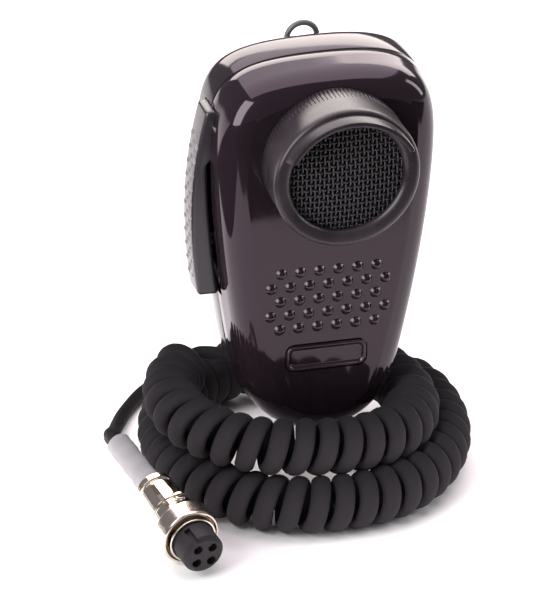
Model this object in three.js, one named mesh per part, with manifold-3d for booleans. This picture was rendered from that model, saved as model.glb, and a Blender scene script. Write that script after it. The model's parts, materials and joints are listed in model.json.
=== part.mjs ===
// Hand microphone with a curly cord and a four-pole screw-on plug.
// Millimetres, +Z up. The handset stands upright, its mouthpiece facing -Y and its talk lever on -X.
// Sizes are given with Z = 0 at the handset's lowest point and Y = 0 on the seam between its shells;
// the last lines move the whole model so that the centre of the handset's box is at the origin.
import * as THREE from 'three';
import { mergeVertices } from 'three/addons/utils/BufferGeometryUtils.js';
import Module from 'manifold-3d';

const wasm = await Module();
wasm.setup();

// ---- Driving dimensions -----------------------------------------------------------------------
const GAP = 0.3;              // clearance left between pieces that touch
const FIT = 0.35;             // radial clearance of a piece in its bore
const CASE = {
  height: 124,                // lowest to highest point of the case
  topHalf: 35,                // half of the greatest width
  topHalfAt: 97,              // height of the greatest width
  bottomHalf: 24.5,           // half width where the rounded bottom begins
  bottomHalfAt: 19,           // height of that place
  front: 17,                  // seam to front face
  rear: 16,                   // seam to back face
  wall: 2.4,
  frontRound: 8.5,            // rounding between side and front face
  rearRound: 6,               // rounding between side and back face
};
const BARREL = { z: 97, radius: 22.2, flare: 0.8, length: 16, wall: 2.9, lip: 5.2, seat: 8 };
const HOOD = { reach: 5, inset: 1.4, wall: 1.7, from: 9.5 };
const MESH = { thickness: 0.9, rise: 1.2 };
const CAPSULE = { radius: 13, length: 12 };
const FOAM = { thickness: 3 };
const DOTS = { pitch: 6, rowPitch: 4.75, radius: 1.6, rows: [6, 7, 6, 7, 6], z: 48.6 };
const BADGE = { width: 25, height: 8.4, thickness: 1, recess: 0.7, z: 28.8 };
const LEVER = {
  topZ: 109, bottomZ: 46.5, width: 9.6, middleY: 1.1, topOut: 3.8, bulge: 8, footOut: 6.6, gap: 0.5,
  neckZ: 91, neckX: -29.3, pivotZ: 104, pivotX: -33, pinRadius: 1.3, swing: 1.6,
};
const PLUNGER = { radius: 1.8, stem: 1.2, y: 3.4, z: 62, lip: 2.8, lipAt: 6.5 };
const SWITCH = { length: 12, depth: 8.8, height: 14, x: -20.5 };
const BOARD = { width: 34, height: 56, thickness: 1.6, y: 10.2, z: 55 };
const SCREW = { radius: 1.3, headRadius: 2.7, headHeight: 1.9, boss: 3.3 };
const SCREW_PLACES = [[-25, 107.5], [25, 107.5], [-15, 18.5], [15, 18.5]];
const BOARD_SCREW_PLACES = [[9, 32], [9, 78]];
const BOARD_SCREW = { radius: 1, bore: 1.3, headRadius: 2.2, headHeight: 1.4 };
const RING = { radius: 4.7, wire: 0.9, gapToBack: 1.6, topZ: 125 };
const RELIEF = { neck: 3.8, root: 4.6, tip: 3.3, length: 18, x: 2, z: 12, inside: 11 };
const CORD = { diameter: 4.2, coil: 17.6 };
const PLUG = {
  length: 27, clampRadius: 6.3, clampLength: 13.6, bodyRadius: 7.3, ringRadius: 9.5, ringLength: 7.5,
  ringWall: 1.1, shellWall: 0.7, insertRadius: 6.6, insertReach: 9.5,
  contactRadius: 1.25, contactCircle: 3.4, screwRadius: 1, screwHead: 1.9, slotTurn: 32,
};
const SLEEVE = { length: 24, inner: 2.9, outer: 3.7 };
const HANGER = { plate: 1.2, halfWidth: 6.5, drop: 26, screwDrop: 21.5, eyeRadius: 2.4, eyeHalf: 1.6 };
const FLOOR = -16;            // the surface that the cord lies on
const LAY_TURN = 17.5;        // degrees that the handset stands turned on its coils

const HANGER_SCREW_Z = RING.topZ - HANGER.screwDrop;
const RING_CENTRE_Z = RING.topZ - RING.radius - RING.wire;
const RING_PIVOT_Z = RING_CENTRE_Z - RING.radius;

// ---- Solids -----------------------------------------------------------------------------------
function solid(geometry) {
  const plain = geometry.clone();
  plain.deleteAttribute('normal');
  plain.deleteAttribute('uv');
  const merged = mergeVertices(plain, 1e-4);
  return new wasm.Manifold(new wasm.Mesh({
    numProp: 3,
    vertProperties: new Float32Array(merged.attributes.position.array),
    triVerts: new Uint32Array(merged.index.array),
  }));
}

function geometryOf(manifold) {
  const mesh = manifold.getMesh();
  const geometry = new THREE.BufferGeometry();
  geometry.setAttribute('position', new THREE.BufferAttribute(new Float32Array(mesh.vertProperties), 3));
  geometry.setIndex(new THREE.BufferAttribute(new Uint32Array(mesh.triVerts), 1));
  geometry.computeVertexNormals();
  return geometry;
}

const join = (first, ...rest) => rest.reduce((sum, piece) => sum.add(piece), first);
const cut = (first, ...rest) => rest.reduce((left, piece) => left.subtract(piece), first);

function box(x0, x1, y0, y1, z0, z1) {
  const geometry = new THREE.BoxGeometry(x1 - x0, y1 - y0, z1 - z0);
  geometry.translate((x0 + x1) / 2, (y0 + y1) / 2, (z0 + z1) / 2);
  return solid(geometry);
}

// A cylinder between two points.
function rod(from, to, radius, sides = 16) {
  const a = new THREE.Vector3(...from);
  const b = new THREE.Vector3(...to);
  const along = b.clone().sub(a);
  const geometry = new THREE.CylinderGeometry(radius, radius, along.length(), sides);
  geometry.applyQuaternion(new THREE.Quaternion().setFromUnitVectors(
    new THREE.Vector3(0, 1, 0), along.clone().normalize()));
  geometry.translate(...a.add(b).multiplyScalar(0.5).toArray());
  return solid(geometry);
}

// A turned piece: [radius, distance] pairs round an axis that starts at a point.
function turned(profile, origin, direction, sides = 32) {
  const points = profile.map(([radius, distance]) => new THREE.Vector2(radius, distance));
  const first = points[0];
  const last = points[points.length - 1];
  if (first.x > 0 || last.x > 0) points.push(first.clone());
  const geometry = new THREE.LatheGeometry(points, sides);
  geometry.applyQuaternion(new THREE.Quaternion().setFromUnitVectors(
    new THREE.Vector3(0, 1, 0), new THREE.Vector3(...direction).normalize()));
  geometry.translate(...origin);
  const turnedSolid = solid(geometry);
  return turnedSolid.volume() < 0 ? solid(flipped(geometry)) : turnedSolid;
}

function flipped(geometry) {
  const copy = geometry.clone();
  const index = Array.from(copy.index.array);
  for (let i = 0; i < index.length; i += 3) [index[i], index[i + 1]] = [index[i + 1], index[i]];
  copy.setIndex(index);
  return copy;
}

// A flat outline in X and Z pushed along Y from y0 back to y1, with rounded or plain ends.
function slab(shape, y0, y1, { round = 0, segments = 2, curveSegments = 8, inset = 0 } = {}) {
  const geometry = new THREE.ExtrudeGeometry(shape, {
    depth: y1 - y0 - 2 * round,
    bevelEnabled: round > 0 || inset > 0,
    bevelThickness: round,
    bevelSize: round,
    bevelOffset: -round - inset,
    bevelSegments: round > 0 ? segments : 1,
    curveSegments,
  });
  geometry.rotateX(Math.PI / 2);
  geometry.translate(0, y1 - round, 0);
  return solid(geometry);
}

// A tube of a given radius along a curve, with flat ends.
function tube(curve, radius, steps, sides) {
  const section = new THREE.Shape();
  for (let i = 0; i <= sides; i += 1) {
    const angle = (2 * Math.PI * i) / sides;
    const point = [radius * Math.cos(angle), radius * Math.sin(angle)];
    if (i === 0) section.moveTo(...point);
    else section.lineTo(...point);
  }
  return new THREE.ExtrudeGeometry(section, { steps, extrudePath: curve, bevelEnabled: false });
}

// ---- Materials --------------------------------------------------------------------------------
function finish(color, roughness, metalness = 0) {
  return new THREE.MeshStandardMaterial({ color, roughness, metalness });
}
const GLOSS_BLACK = finish(0x14111a, 0.12);
const SATIN_BLACK = finish(0x1b181c, 0.4);
const BLACK_METAL = finish(0x232024, 0.45, 0.6);
const FOAM_BLACK = finish(0x151515, 0.95);
const STEEL = finish(0xb9b6b0, 0.3, 1);
const NICKEL = finish(0xd9cdbd, 0.28, 1);
const BRASS = finish(0xc9a55c, 0.3, 1);
const BOARD_GREEN = finish(0x2c5a3a, 0.6);
const GREY_METAL = finish(0x8d8d92, 0.4, 0.9);
const CORD_BLACK = finish(0x161316, 0.35);
const CLEAR_GREY = finish(0x7a7072, 0.25);

const model = new THREE.Group();
const handset = new THREE.Group();
const cordAndPlug = new THREE.Group();
model.add(handset, cordAndPlug);

function add(group, name, piece, material) {
  const mesh = new THREE.Mesh(piece.isBufferGeometry ? piece : geometryOf(piece), material);
  mesh.name = name;
  group.add(mesh);
  return mesh;
}

// ---- Case -------------------------------------------------------------------------------------
function caseOutline() {
  const { height, topHalf, topHalfAt, bottomHalf, bottomHalfAt } = CASE;
  const rise = height - topHalfAt;
  const shape = new THREE.Shape();
  shape.moveTo(0, 0);
  shape.bezierCurveTo(0.49 * bottomHalf, 0, 0.86 * bottomHalf, 0.37 * bottomHalfAt,
    bottomHalf, bottomHalfAt);
  shape.bezierCurveTo(bottomHalf + 4, bottomHalfAt + 16, topHalf, topHalfAt - 25, topHalf, topHalfAt);
  shape.bezierCurveTo(topHalf, topHalfAt + 0.8 * rise, 0.8 * topHalf, height, 0, height);
  shape.bezierCurveTo(-0.8 * topHalf, height, -topHalf, topHalfAt + 0.8 * rise, -topHalf, topHalfAt);
  shape.bezierCurveTo(-topHalf, topHalfAt - 25, -bottomHalf - 4, bottomHalfAt + 16,
    -bottomHalf, bottomHalfAt);
  shape.bezierCurveTo(-0.86 * bottomHalf, 0.37 * bottomHalfAt, -0.49 * bottomHalf, 0, 0, 0);
  return shape;
}

const FAR = 200;
const OUTLINE = caseOutline();
const ROUND_STEPS = { segments: 4, curveSegments: 8 };

// The case's outer form or, with an inset, its hollow; the rounded front ends at -front.
function frontForm(inset) {
  const round = CASE.frontRound - inset;
  const body = slab(OUTLINE, -CASE.front + inset, 40, { round, inset, ...ROUND_STEPS });
  return body.intersect(box(-FAR, FAR, -FAR, inset > 0 ? 1 : 0, -FAR, FAR));
}

function rearForm(inset) {
  const round = CASE.rearRound - inset;
  const body = slab(OUTLINE, -40, CASE.rear - inset, { round, inset, ...ROUND_STEPS });
  return body.intersect(box(-FAR, FAR, inset > 0 ? -1 : GAP, FAR, -FAR, FAR));
}

// Half width of the case at a height, read off its outline.
function halfWidthAt(z) {
  const points = OUTLINE.getPoints(40).filter((point) => point.x >= 0);
  for (let i = 1; i < points.length; i += 1) {
    const [a, b] = [points[i - 1], points[i]];
    if (a.y <= z && z <= b.y && b.y > a.y) return a.x + ((b.x - a.x) * (z - a.y)) / (b.y - a.y);
  }
  return 0;
}

const LEVER_FRONT = LEVER.middleY - LEVER.width / 2;
const LEVER_BACK = LEVER.middleY + LEVER.width / 2;
const LUG = 3;

// The lever's outer face is one curve from the case's shoulder to the free end; the inner face
// runs close beside the case and steps in to the pivot at the top.
const LEVER_TOP = new THREE.Vector2(-halfWidthAt(LEVER.topZ) - LEVER.topOut, LEVER.topZ);
const LEVER_FOOT = new THREE.Vector2(-halfWidthAt(LEVER.bottomZ) - LEVER.footOut, LEVER.bottomZ);
const LEVER_BEND = new THREE.Vector2(-CASE.topHalf - LEVER.bulge, (LEVER.topZ + LEVER.bottomZ) / 2 + 2);
const leverInnerAt = (z) => -halfWidthAt(z) - LEVER.gap;
const LEVER_SPAN = [0, 1, 2, 3, 4, 5, 6].map(
  (i) => LEVER.bottomZ + ((LEVER.neckZ - LEVER.bottomZ) * i) / 6);

function leverShape() {
  const shape = new THREE.Shape();
  shape.moveTo(LEVER_TOP.x, LEVER_TOP.y);
  shape.quadraticCurveTo(LEVER_BEND.x, LEVER_BEND.y, LEVER_FOOT.x, LEVER_FOOT.y);
  LEVER_SPAN.forEach((z) => shape.lineTo(leverInnerAt(z), z));
  shape.lineTo(LEVER.neckX, LEVER.neckZ + 6);
  shape.lineTo(LEVER.neckX, LEVER.topZ - 1);
  return shape;
}

// The opening in both shells that the lever's pivot end sits in, and the shallow channel below it
// that takes the lever's inner face when it is pressed.
function leverChannel() {
  const swing = Math.tan(THREE.MathUtils.degToRad(LEVER.swing));
  const floorAt = (z) => leverInnerAt(z) + (LEVER.pivotZ - z) * swing + FIT;
  const shape = new THREE.Shape();
  shape.moveTo(-FAR, LEVER.bottomZ - 0.6);
  shape.lineTo(floorAt(LEVER.bottomZ), LEVER.bottomZ - 0.6);
  LEVER_SPAN.forEach((z) => shape.lineTo(floorAt(z), z));
  shape.lineTo(-FAR, LEVER.neckZ);
  return slab(shape, LEVER_FRONT - GAP, LEVER_BACK + GAP);
}
const leverWindow = join(leverChannel(),
  box(-FAR, LEVER.neckX + 0.8, LEVER_FRONT - GAP, LEVER_BACK + GAP,
    LEVER.neckZ - 1.5, LEVER.topZ + GAP));
const pinBore = rod([LEVER.pivotX, LEVER_FRONT - LUG, LEVER.pivotZ],
  [LEVER.pivotX, LEVER_BACK + LUG, LEVER.pivotZ], LEVER.pinRadius + FIT, 16);

function leverLugs(form, y0, y1) {
  return form.intersect(box(-FAR, LEVER.pivotX + 3.2, y0, y1, LEVER.pivotZ - 5, LEVER.pivotZ + 4.5));
}

function gripDots() {
  const dots = [];
  DOTS.rows.forEach((count, row) => {
    const z = DOTS.z + (2 - row) * DOTS.rowPitch;
    for (let i = 0; i < count; i += 1) {
      const dot = new THREE.SphereGeometry(DOTS.radius, 6, 6);
      dot.scale(1, 0.55, 1);
      dot.translate((i - (count - 1) / 2) * DOTS.pitch, -CASE.front + 0.05, z);
      dots.push(solid(dot));
    }
  });
  return dots;
}

function roundedBar(width, height, z, corner) {
  const shape = new THREE.Shape();
  const [w, h] = [width / 2 - corner, height / 2 - corner];
  shape.absarc(w, z + h, corner, 0, Math.PI / 2);
  shape.absarc(-w, z + h, corner, Math.PI / 2, Math.PI);
  shape.absarc(-w, z - h, corner, Math.PI, 1.5 * Math.PI);
  shape.absarc(w, z - h, corner, 1.5 * Math.PI, 2 * Math.PI);
  return shape;
}

function buildFrontShell() {
  let shell = cut(frontForm(0), frontForm(CASE.wall));
  const bosses = SCREW_PLACES.map(([x, z]) => rod([x, -GAP, z], [x, -CASE.front + 1, z], SCREW.boss)
    .intersect(frontForm(0)));
  shell = join(shell, ...bosses, leverLugs(frontForm(0), LEVER_FRONT - GAP - LUG, 0), ...gripDots());
  const badgePocket = slab(roundedBar(BADGE.width + 2 * GAP, BADGE.height + 2 * GAP, BADGE.z, 2.6),
    -CASE.front - 5, -CASE.front + BADGE.recess, { curveSegments: 5 });
  const barrelHole = rod([0, -FAR, BARREL.z], [0, -2, BARREL.z], BARREL.radius + GAP, 44);
  const screwHoles = SCREW_PLACES.map(([x, z]) => rod([x, 5, z], [x, -11, z], SCREW.radius + FIT, 10));
  return cut(shell, badgePocket, barrelHole, leverWindow, pinBore, ...screwHoles);
}

function buildRearCover() {
  let cover = cut(rearForm(0), rearForm(CASE.wall));
  const bosses = SCREW_PLACES.map(([x, z]) => rod([x, GAP, z], [x, CASE.rear - 1, z], SCREW.boss + 1)
    .intersect(rearForm(0)));
  const posts = BOARD_SCREW_PLACES.map(([x, z]) => rod(
    [x, BOARD.y + BOARD.thickness + GAP, z], [x, CASE.rear - 1, z], 2.6));
  cover = join(cover, ...bosses, ...posts, leverLugs(rearForm(0), GAP, LEVER_BACK + GAP + LUG));
  const screwHoles = SCREW_PLACES.map(([x, z]) => join(
    rod([x, -5, z], [x, CASE.rear + 5, z], SCREW.radius + FIT, 10),
    rod([x, CASE.rear - SCREW.headHeight - GAP, z], [x, CASE.rear + 5, z], SCREW.headRadius + FIT, 16)));
  const postHoles = BOARD_SCREW_PLACES.map(([x, z]) => rod(
    [x, BOARD.y, z], [x, CASE.rear - 1.2, z], BOARD_SCREW.bore, 10));
  const plungerHole = rod([-FAR, PLUNGER.y, PLUNGER.z], [-20, PLUNGER.y, PLUNGER.z],
    PLUNGER.radius + FIT, 20);
  const reliefHole = rod([RELIEF.x, 4, RELIEF.z], [RELIEF.x, FAR, RELIEF.z], RELIEF.neck + FIT, 20);
  const hangerHole = rod([0, CASE.rear - 5, HANGER_SCREW_Z],
    [0, CASE.rear + 5, HANGER_SCREW_Z], SCREW.radius + FIT, 16);
  return cut(cover, leverWindow, pinBore, plungerHole, reliefHole, hangerHole, ...screwHoles, ...postHoles);
}

add(handset, 'front_shell', buildFrontShell(), GLOSS_BLACK);
add(handset, 'rear_cover', buildRearCover(), SATIN_BLACK);

SCREW_PLACES.forEach(([x, z], i) => {
  const back = CASE.rear - 0.2;
  const screw = cut(
    join(rod([x, back, z], [x, back - SCREW.headHeight, z], SCREW.headRadius, 14),
      rod([x, back - 1, z], [x, -10, z], SCREW.radius, 8)),
    box(x - 2, x + 2, back - 0.9, back + 1, z - 0.35, z + 0.35),
    box(x - 0.35, x + 0.35, back - 0.9, back + 1, z - 2, z + 2));
  add(handset, `case_screw_${i + 1}`, screw, STEEL);
});

// ---- Mouthpiece -------------------------------------------------------------------------------
// Distances run forward from the seam along -Y.
const RIM = CASE.front + BARREL.length;
const BORE = BARREL.radius - BARREL.wall;
const RIM_RADIUS = BARREL.radius + BARREL.flare;
const LIP_RADIUS = RIM_RADIUS - BARREL.lip;
const MESH_BACK = RIM - 3.9;
const forward = (profile, sides) => turned(profile, [0, 0, BARREL.z], [0, -1, 0], sides);

function buildBarrel() {
  const ring = forward([
    [BORE, BARREL.seat + 1], [BARREL.radius, BARREL.seat + 1], [BARREL.radius, CASE.front],
    [RIM_RADIUS, RIM - 1.8], [RIM_RADIUS - 0.6, RIM - 0.5], [RIM_RADIUS - 1.6, RIM],
    [LIP_RADIUS + 1.2, RIM], [LIP_RADIUS, RIM - 1.1], [LIP_RADIUS, MESH_BACK + MESH.thickness + 0.6],
    [BORE, MESH_BACK + MESH.thickness + GAP],
  ], 44);
  const outer = RIM_RADIUS - HOOD.inset;
  const hood = forward([
    [outer - HOOD.wall, RIM - 1], [outer, RIM - 1], [outer, RIM + HOOD.reach - 0.8],
    [outer - 0.6, RIM + HOOD.reach], [outer - HOOD.wall, RIM + HOOD.reach],
  ], 44).intersect(box(-FAR, FAR, -FAR, 0, BARREL.z + HOOD.from, FAR));
  return join(ring, hood);
}

const disc = (radius, from, to, sides = 28) => forward(
  [[0, from], [radius, from], [radius, to], [0, to]], sides);
const hoop = (inner, outer, from, to, sides = 28) => forward(
  [[inner, from], [outer, from], [outer, to], [inner, to]], sides);

add(handset, 'mouthpiece_barrel', buildBarrel(), GLOSS_BLACK);
add(handset, 'grille_mesh', forward([
  [0, MESH_BACK + MESH.rise], [0.55 * BORE, MESH_BACK + 0.7 * MESH.rise], [BORE - GAP, MESH_BACK],
  [BORE - GAP, MESH_BACK + MESH.thickness], [0.55 * BORE, MESH_BACK + MESH.thickness + 0.7 * MESH.rise],
  [0, MESH_BACK + MESH.thickness + MESH.rise],
], 32), BLACK_METAL);
const CLAMP_BACK = MESH_BACK - GAP - 1.6;
add(handset, 'grille_clamp_ring', hoop(BORE - 3, BORE - GAP, CLAMP_BACK, MESH_BACK - GAP), SATIN_BLACK);
const FOAM_BACK = CLAMP_BACK - GAP - FOAM.thickness;
add(handset, 'windscreen_foam', disc(BORE - GAP, FOAM_BACK, CLAMP_BACK - GAP), FOAM_BLACK);
const CAPSULE_BACK = FOAM_BACK - GAP - CAPSULE.length;
add(handset, 'capsule_holder',
  hoop(CAPSULE.radius + GAP, BORE - GAP, CAPSULE_BACK + 1, FOAM_BACK - GAP), FOAM_BLACK);
add(handset, 'mic_capsule', disc(CAPSULE.radius, CAPSULE_BACK, FOAM_BACK - GAP), GREY_METAL);

// ---- Badge ------------------------------------------------------------------------------------
const BADGE_BACK = -CASE.front + BADGE.recess - GAP;
add(handset, 'badge_plate', slab(roundedBar(BADGE.width, BADGE.height, BADGE.z, 2.4),
  BADGE_BACK - BADGE.thickness, BADGE_BACK, { curveSegments: 5 }), GLOSS_BLACK);

// ---- Talk lever and switch --------------------------------------------------------------------
const lever = cut(slab(leverShape(), LEVER_FRONT, LEVER_BACK, { round: 0.9, segments: 2 }),
  rod([LEVER.pivotX, -FAR, LEVER.pivotZ], [LEVER.pivotX, FAR, LEVER.pivotZ], LEVER.pinRadius + FIT, 20));
add(handset, 'ptt_lever', lever, SATIN_BLACK);
add(handset, 'ptt_pivot_pin', rod([LEVER.pivotX, LEVER_FRONT - LUG + GAP, LEVER.pivotZ],
  [LEVER.pivotX, LEVER_BACK + LUG - GAP, LEVER.pivotZ], LEVER.pinRadius, 20), STEEL);

const plungerTip = leverInnerAt(PLUNGER.z) + 0.2;
const SWITCH_FACE = SWITCH.x;
add(handset, 'switch_plunger', turned([
  [0, 0], [PLUNGER.radius, 0.6], [PLUNGER.radius, PLUNGER.lipAt], [PLUNGER.lip, PLUNGER.lipAt],
  [PLUNGER.lip, PLUNGER.lipAt + 1], [PLUNGER.stem, PLUNGER.lipAt + 1],
  [PLUNGER.stem, SWITCH_FACE - plungerTip + 4], [0, SWITCH_FACE - plungerTip + 4],
], [plungerTip, PLUNGER.y, PLUNGER.z], [1, 0, 0], 20), SATIN_BLACK);
const SPRING_START = plungerTip + PLUNGER.lipAt + 1 + GAP;
add(handset, 'return_spring', turned([
  [1.7, 0], [2.5, 0], [2.5, SWITCH_FACE - GAP - SPRING_START], [1.7, SWITCH_FACE - GAP - SPRING_START],
], [SPRING_START, PLUNGER.y, PLUNGER.z], [1, 0, 0], 16), STEEL);
const SWITCH_BACK = BOARD.y - GAP;
add(handset, 'switch_body', cut(
  box(SWITCH_FACE, SWITCH_FACE + SWITCH.length, SWITCH_BACK - SWITCH.depth, SWITCH_BACK,
    PLUNGER.z - SWITCH.height / 2, PLUNGER.z + SWITCH.height / 2),
  rod([SWITCH_FACE - 1, PLUNGER.y, PLUNGER.z], [SWITCH_FACE + 8, PLUNGER.y, PLUNGER.z],
    PLUNGER.stem + FIT, 16)), SATIN_BLACK);
add(handset, 'circuit_board', cut(
  box(-BOARD.width / 2, BOARD.width / 2, BOARD.y, BOARD.y + BOARD.thickness,
    BOARD.z - BOARD.height / 2, BOARD.z + BOARD.height / 2),
  ...BOARD_SCREW_PLACES.map(([x, z]) => rod([x, 0, z], [x, 20, z], BOARD_SCREW.bore, 10))), BOARD_GREEN);
BOARD_SCREW_PLACES.forEach(([x, z], i) => {
  const face = BOARD.y - GAP;
  const screw = join(
    rod([x, face - BOARD_SCREW.headHeight, z], [x, face, z], BOARD_SCREW.headRadius, 12),
    rod([x, face - 1, z], [x, CASE.rear - 1.8, z], BOARD_SCREW.radius, 8));
  add(handset, `board_screw_${i + 1}`, screw, STEEL);
});

// ---- Hanging loop -----------------------------------------------------------------------------
// A round wire loop that turns in the eye of a small plate screwed to the back.
const plateBack = CASE.rear + GAP;
const eyeY = plateBack + HANGER.eyeRadius;

function plateOutline() {
  const { halfWidth, eyeHalf } = HANGER;
  const bottom = RING.topZ - HANGER.drop;
  const shape = new THREE.Shape();
  shape.moveTo(-halfWidth, bottom + 3);
  shape.quadraticCurveTo(-halfWidth, bottom, -halfWidth + 3, bottom);
  shape.lineTo(halfWidth - 3, bottom);
  shape.quadraticCurveTo(halfWidth, bottom, halfWidth, bottom + 3);
  shape.lineTo(eyeHalf, RING_PIVOT_Z - 2);
  shape.lineTo(eyeHalf, RING_PIVOT_Z);
  shape.lineTo(-eyeHalf, RING_PIVOT_Z);
  shape.lineTo(-eyeHalf, RING_PIVOT_Z - 2);
  return shape;
}

add(handset, 'hanger_plate', cut(
  join(slab(plateOutline(), plateBack, plateBack + HANGER.plate, { curveSegments: 5 }),
    rod([-HANGER.eyeHalf, eyeY, RING_PIVOT_Z], [HANGER.eyeHalf, eyeY, RING_PIVOT_Z], HANGER.eyeRadius, 20)),
  rod([-10, eyeY, RING_PIVOT_Z], [10, eyeY, RING_PIVOT_Z], RING.wire + 2 * FIT, 16),
  rod([0, 0, HANGER_SCREW_Z], [0, 40, HANGER_SCREW_Z], SCREW.radius + FIT, 10)), STEEL);
const screwSeat = plateBack + HANGER.plate + GAP;
add(handset, 'hanger_screw', join(
  rod([0, screwSeat, HANGER_SCREW_Z], [0, screwSeat + 1.5, HANGER_SCREW_Z], 2.6, 20),
  rod([0, CASE.rear - 4, HANGER_SCREW_Z], [0, screwSeat + 1, HANGER_SCREW_Z], SCREW.radius, 12)), STEEL);
const loop = new THREE.TorusGeometry(RING.radius, RING.wire, 8, 26);
loop.rotateX(Math.PI / 2);
loop.translate(0, eyeY, RING_CENTRE_Z);
add(handset, 'hang_loop', solid(loop), BLACK_METAL);

// ---- Cord exit --------------------------------------------------------------------------------
// A right-angled sleeve: a round neck through the back, then a taper that runs towards -X.
const reliefY = CASE.rear + GAP + RELIEF.root;
const reliefTip = RELIEF.x - RELIEF.length;
add(handset, 'strain_relief', join(
  rod([RELIEF.x, CASE.rear - RELIEF.inside, RELIEF.z], [RELIEF.x, reliefY, RELIEF.z], RELIEF.neck, 20),
  turned([[0, -RELIEF.root], [RELIEF.root - 1.4, -RELIEF.root], [RELIEF.root, -RELIEF.root + 1.4],
    [RELIEF.root, 4], [RELIEF.tip, RELIEF.length], [0, RELIEF.length]],
  [RELIEF.x, reliefY, RELIEF.z], [-1, 0, 0], 20)), SATIN_BLACK);

// A block gripped round the relief's neck inside the case.
add(handset, 'cord_clamp', cut(
  box(RELIEF.x - 6, RELIEF.x + 6, CASE.rear - 9.5, CASE.rear - 6, RELIEF.z - 5.4, RELIEF.z + 6),
  rod([RELIEF.x, 0, RELIEF.z], [RELIEF.x, 20, RELIEF.z], RELIEF.neck + GAP, 20)), SATIN_BLACK);

// ---- Cord -------------------------------------------------------------------------------------
// Places in the coil's own layout: u to the right, w away to the back, z up, turned under the handset.
const TURN = THREE.MathUtils.degToRad(LAY_TURN);
function lay(u, w, z) {
  const [cosine, sine] = [Math.cos(TURN), Math.sin(TURN)];
  return new THREE.Vector3(u * cosine + w * sine, w * cosine - u * sine, z);
}
const smooth = (points) => new THREE.CatmullRomCurve3(points, false, 'centripetal');

const COIL_RADIUS = CORD.coil / 2;
const REST = FLOOR + COIL_RADIUS + 0.1;
const COIL_ROUTE = [
  [-36, 9, 11.5], [-40.5, -2, 11.5], [-41, -14, 11.2], [-36.5, -26, 10.8], [-27, -35, 10.2],
  [-14, -39.5, 9.6], [0, -38.5, 9], [13, -34, 8], [24.5, -25, 7], [30.5, -12.5, 5.6], [31, 1.5, 5],
  [26, 15, 4.8], [17, 27, 3.4], [5, 37, 0], [-9, 42, -3.6], [-23, 39, REST + 0.6],
  [-34.5, 29, REST], [-41, 14, REST], [-42.4, -2, REST], [-39, -18, REST], [-31, -32, REST],
  [-18, -42, REST], [-2, -45.5, REST], [14, -42, REST], [28, -33, REST], [37, -19, REST],
  [41, -3, REST], [40, 14, REST], [34.5, 29, REST], [26, 39, REST],
].map((point) => lay(...point));
const coilRoute = smooth(COIL_ROUTE);
const coilStart = coilRoute.getPoint(0);
const coilEnd = coilRoute.getPoint(1);
const startTangent = coilRoute.getTangent(0);
const endTangent = coilRoute.getTangent(1);

const wireRadius = CORD.diameter / 2;
const LEAD_ROUTE = [
  new THREE.Vector3(reliefTip - GAP, reliefY, RELIEF.z), new THREE.Vector3(reliefTip - 4, reliefY, RELIEF.z),
  coilStart.clone().addScaledVector(startTangent, -6), coilStart.clone().addScaledVector(startTangent, -GAP),
];
const ground = FLOOR + wireRadius + 0.1;
const plugAxis = lay(0.45, -0.882, -0.14).normalize();
const ringFace = lay(-33.6, -70.5, FLOOR + PLUG.ringRadius + 0.2);
const plugRear = ringFace.clone().addScaledVector(plugAxis, -PLUG.length);
const onPlug = (distance) => plugRear.clone().addScaledVector(plugAxis, distance);
const TAIL_ROUTE = [
  coilEnd.clone().addScaledVector(endTangent, GAP), coilEnd.clone().addScaledVector(endTangent, 5),
  lay(10, 55, ground + 2), lay(-6, 59, ground), lay(-22, 57.5, ground), lay(-37, 50, ground),
  lay(-48.5, 38, ground), lay(-55, 23, ground), lay(-58, 7, ground + 2), lay(-59, -8, ground + 7),
  onPlug(-SLEEVE.length - 5), onPlug(-SLEEVE.length), onPlug(-SLEEVE.length * 0.5), onPlug(-GAP),
];
add(cordAndPlug, 'cord_lead', tube(smooth(LEAD_ROUTE), wireRadius, 16, 8), CORD_BLACK);
add(cordAndPlug, 'cord_coil', tube(coilRoute, COIL_RADIUS, 50, 10), CORD_BLACK);
add(cordAndPlug, 'cord_tail', tube(smooth(TAIL_ROUTE), wireRadius, 36, 8), CORD_BLACK);

// ---- Plug -------------------------------------------------------------------------------------
const plugged = (profile, sides) => turned(profile, plugRear.toArray(), plugAxis.toArray(), sides);

add(cordAndPlug, 'cord_sleeve', plugged([
  [SLEEVE.inner, -SLEEVE.length], [SLEEVE.outer, -SLEEVE.length], [SLEEVE.outer, -GAP], [SLEEVE.inner, -GAP],
], 16), CLEAR_GREY);

const FACE = PLUG.length;             // front of the coupling ring
const NOSE = FACE + PLUG.insertReach; // front of the insert
const RING_BACK = FACE - PLUG.ringLength;
const RING_BORE = PLUG.ringRadius - PLUG.ringWall;
const SHELL_RADIUS = PLUG.insertRadius + GAP + PLUG.shellWall;

const plugAcross = new THREE.Vector3(0, 0, 1).cross(plugAxis).normalize();
const plugBasis = new THREE.Matrix4().makeBasis(plugAcross, plugAxis, plugAcross.clone().cross(plugAxis));
// A point given across the plug, along it and below its axis.
function inPlug(x, distance, y) {
  return new THREE.Vector3(x, distance, y).applyMatrix4(plugBasis).add(plugRear).toArray();
}

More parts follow.
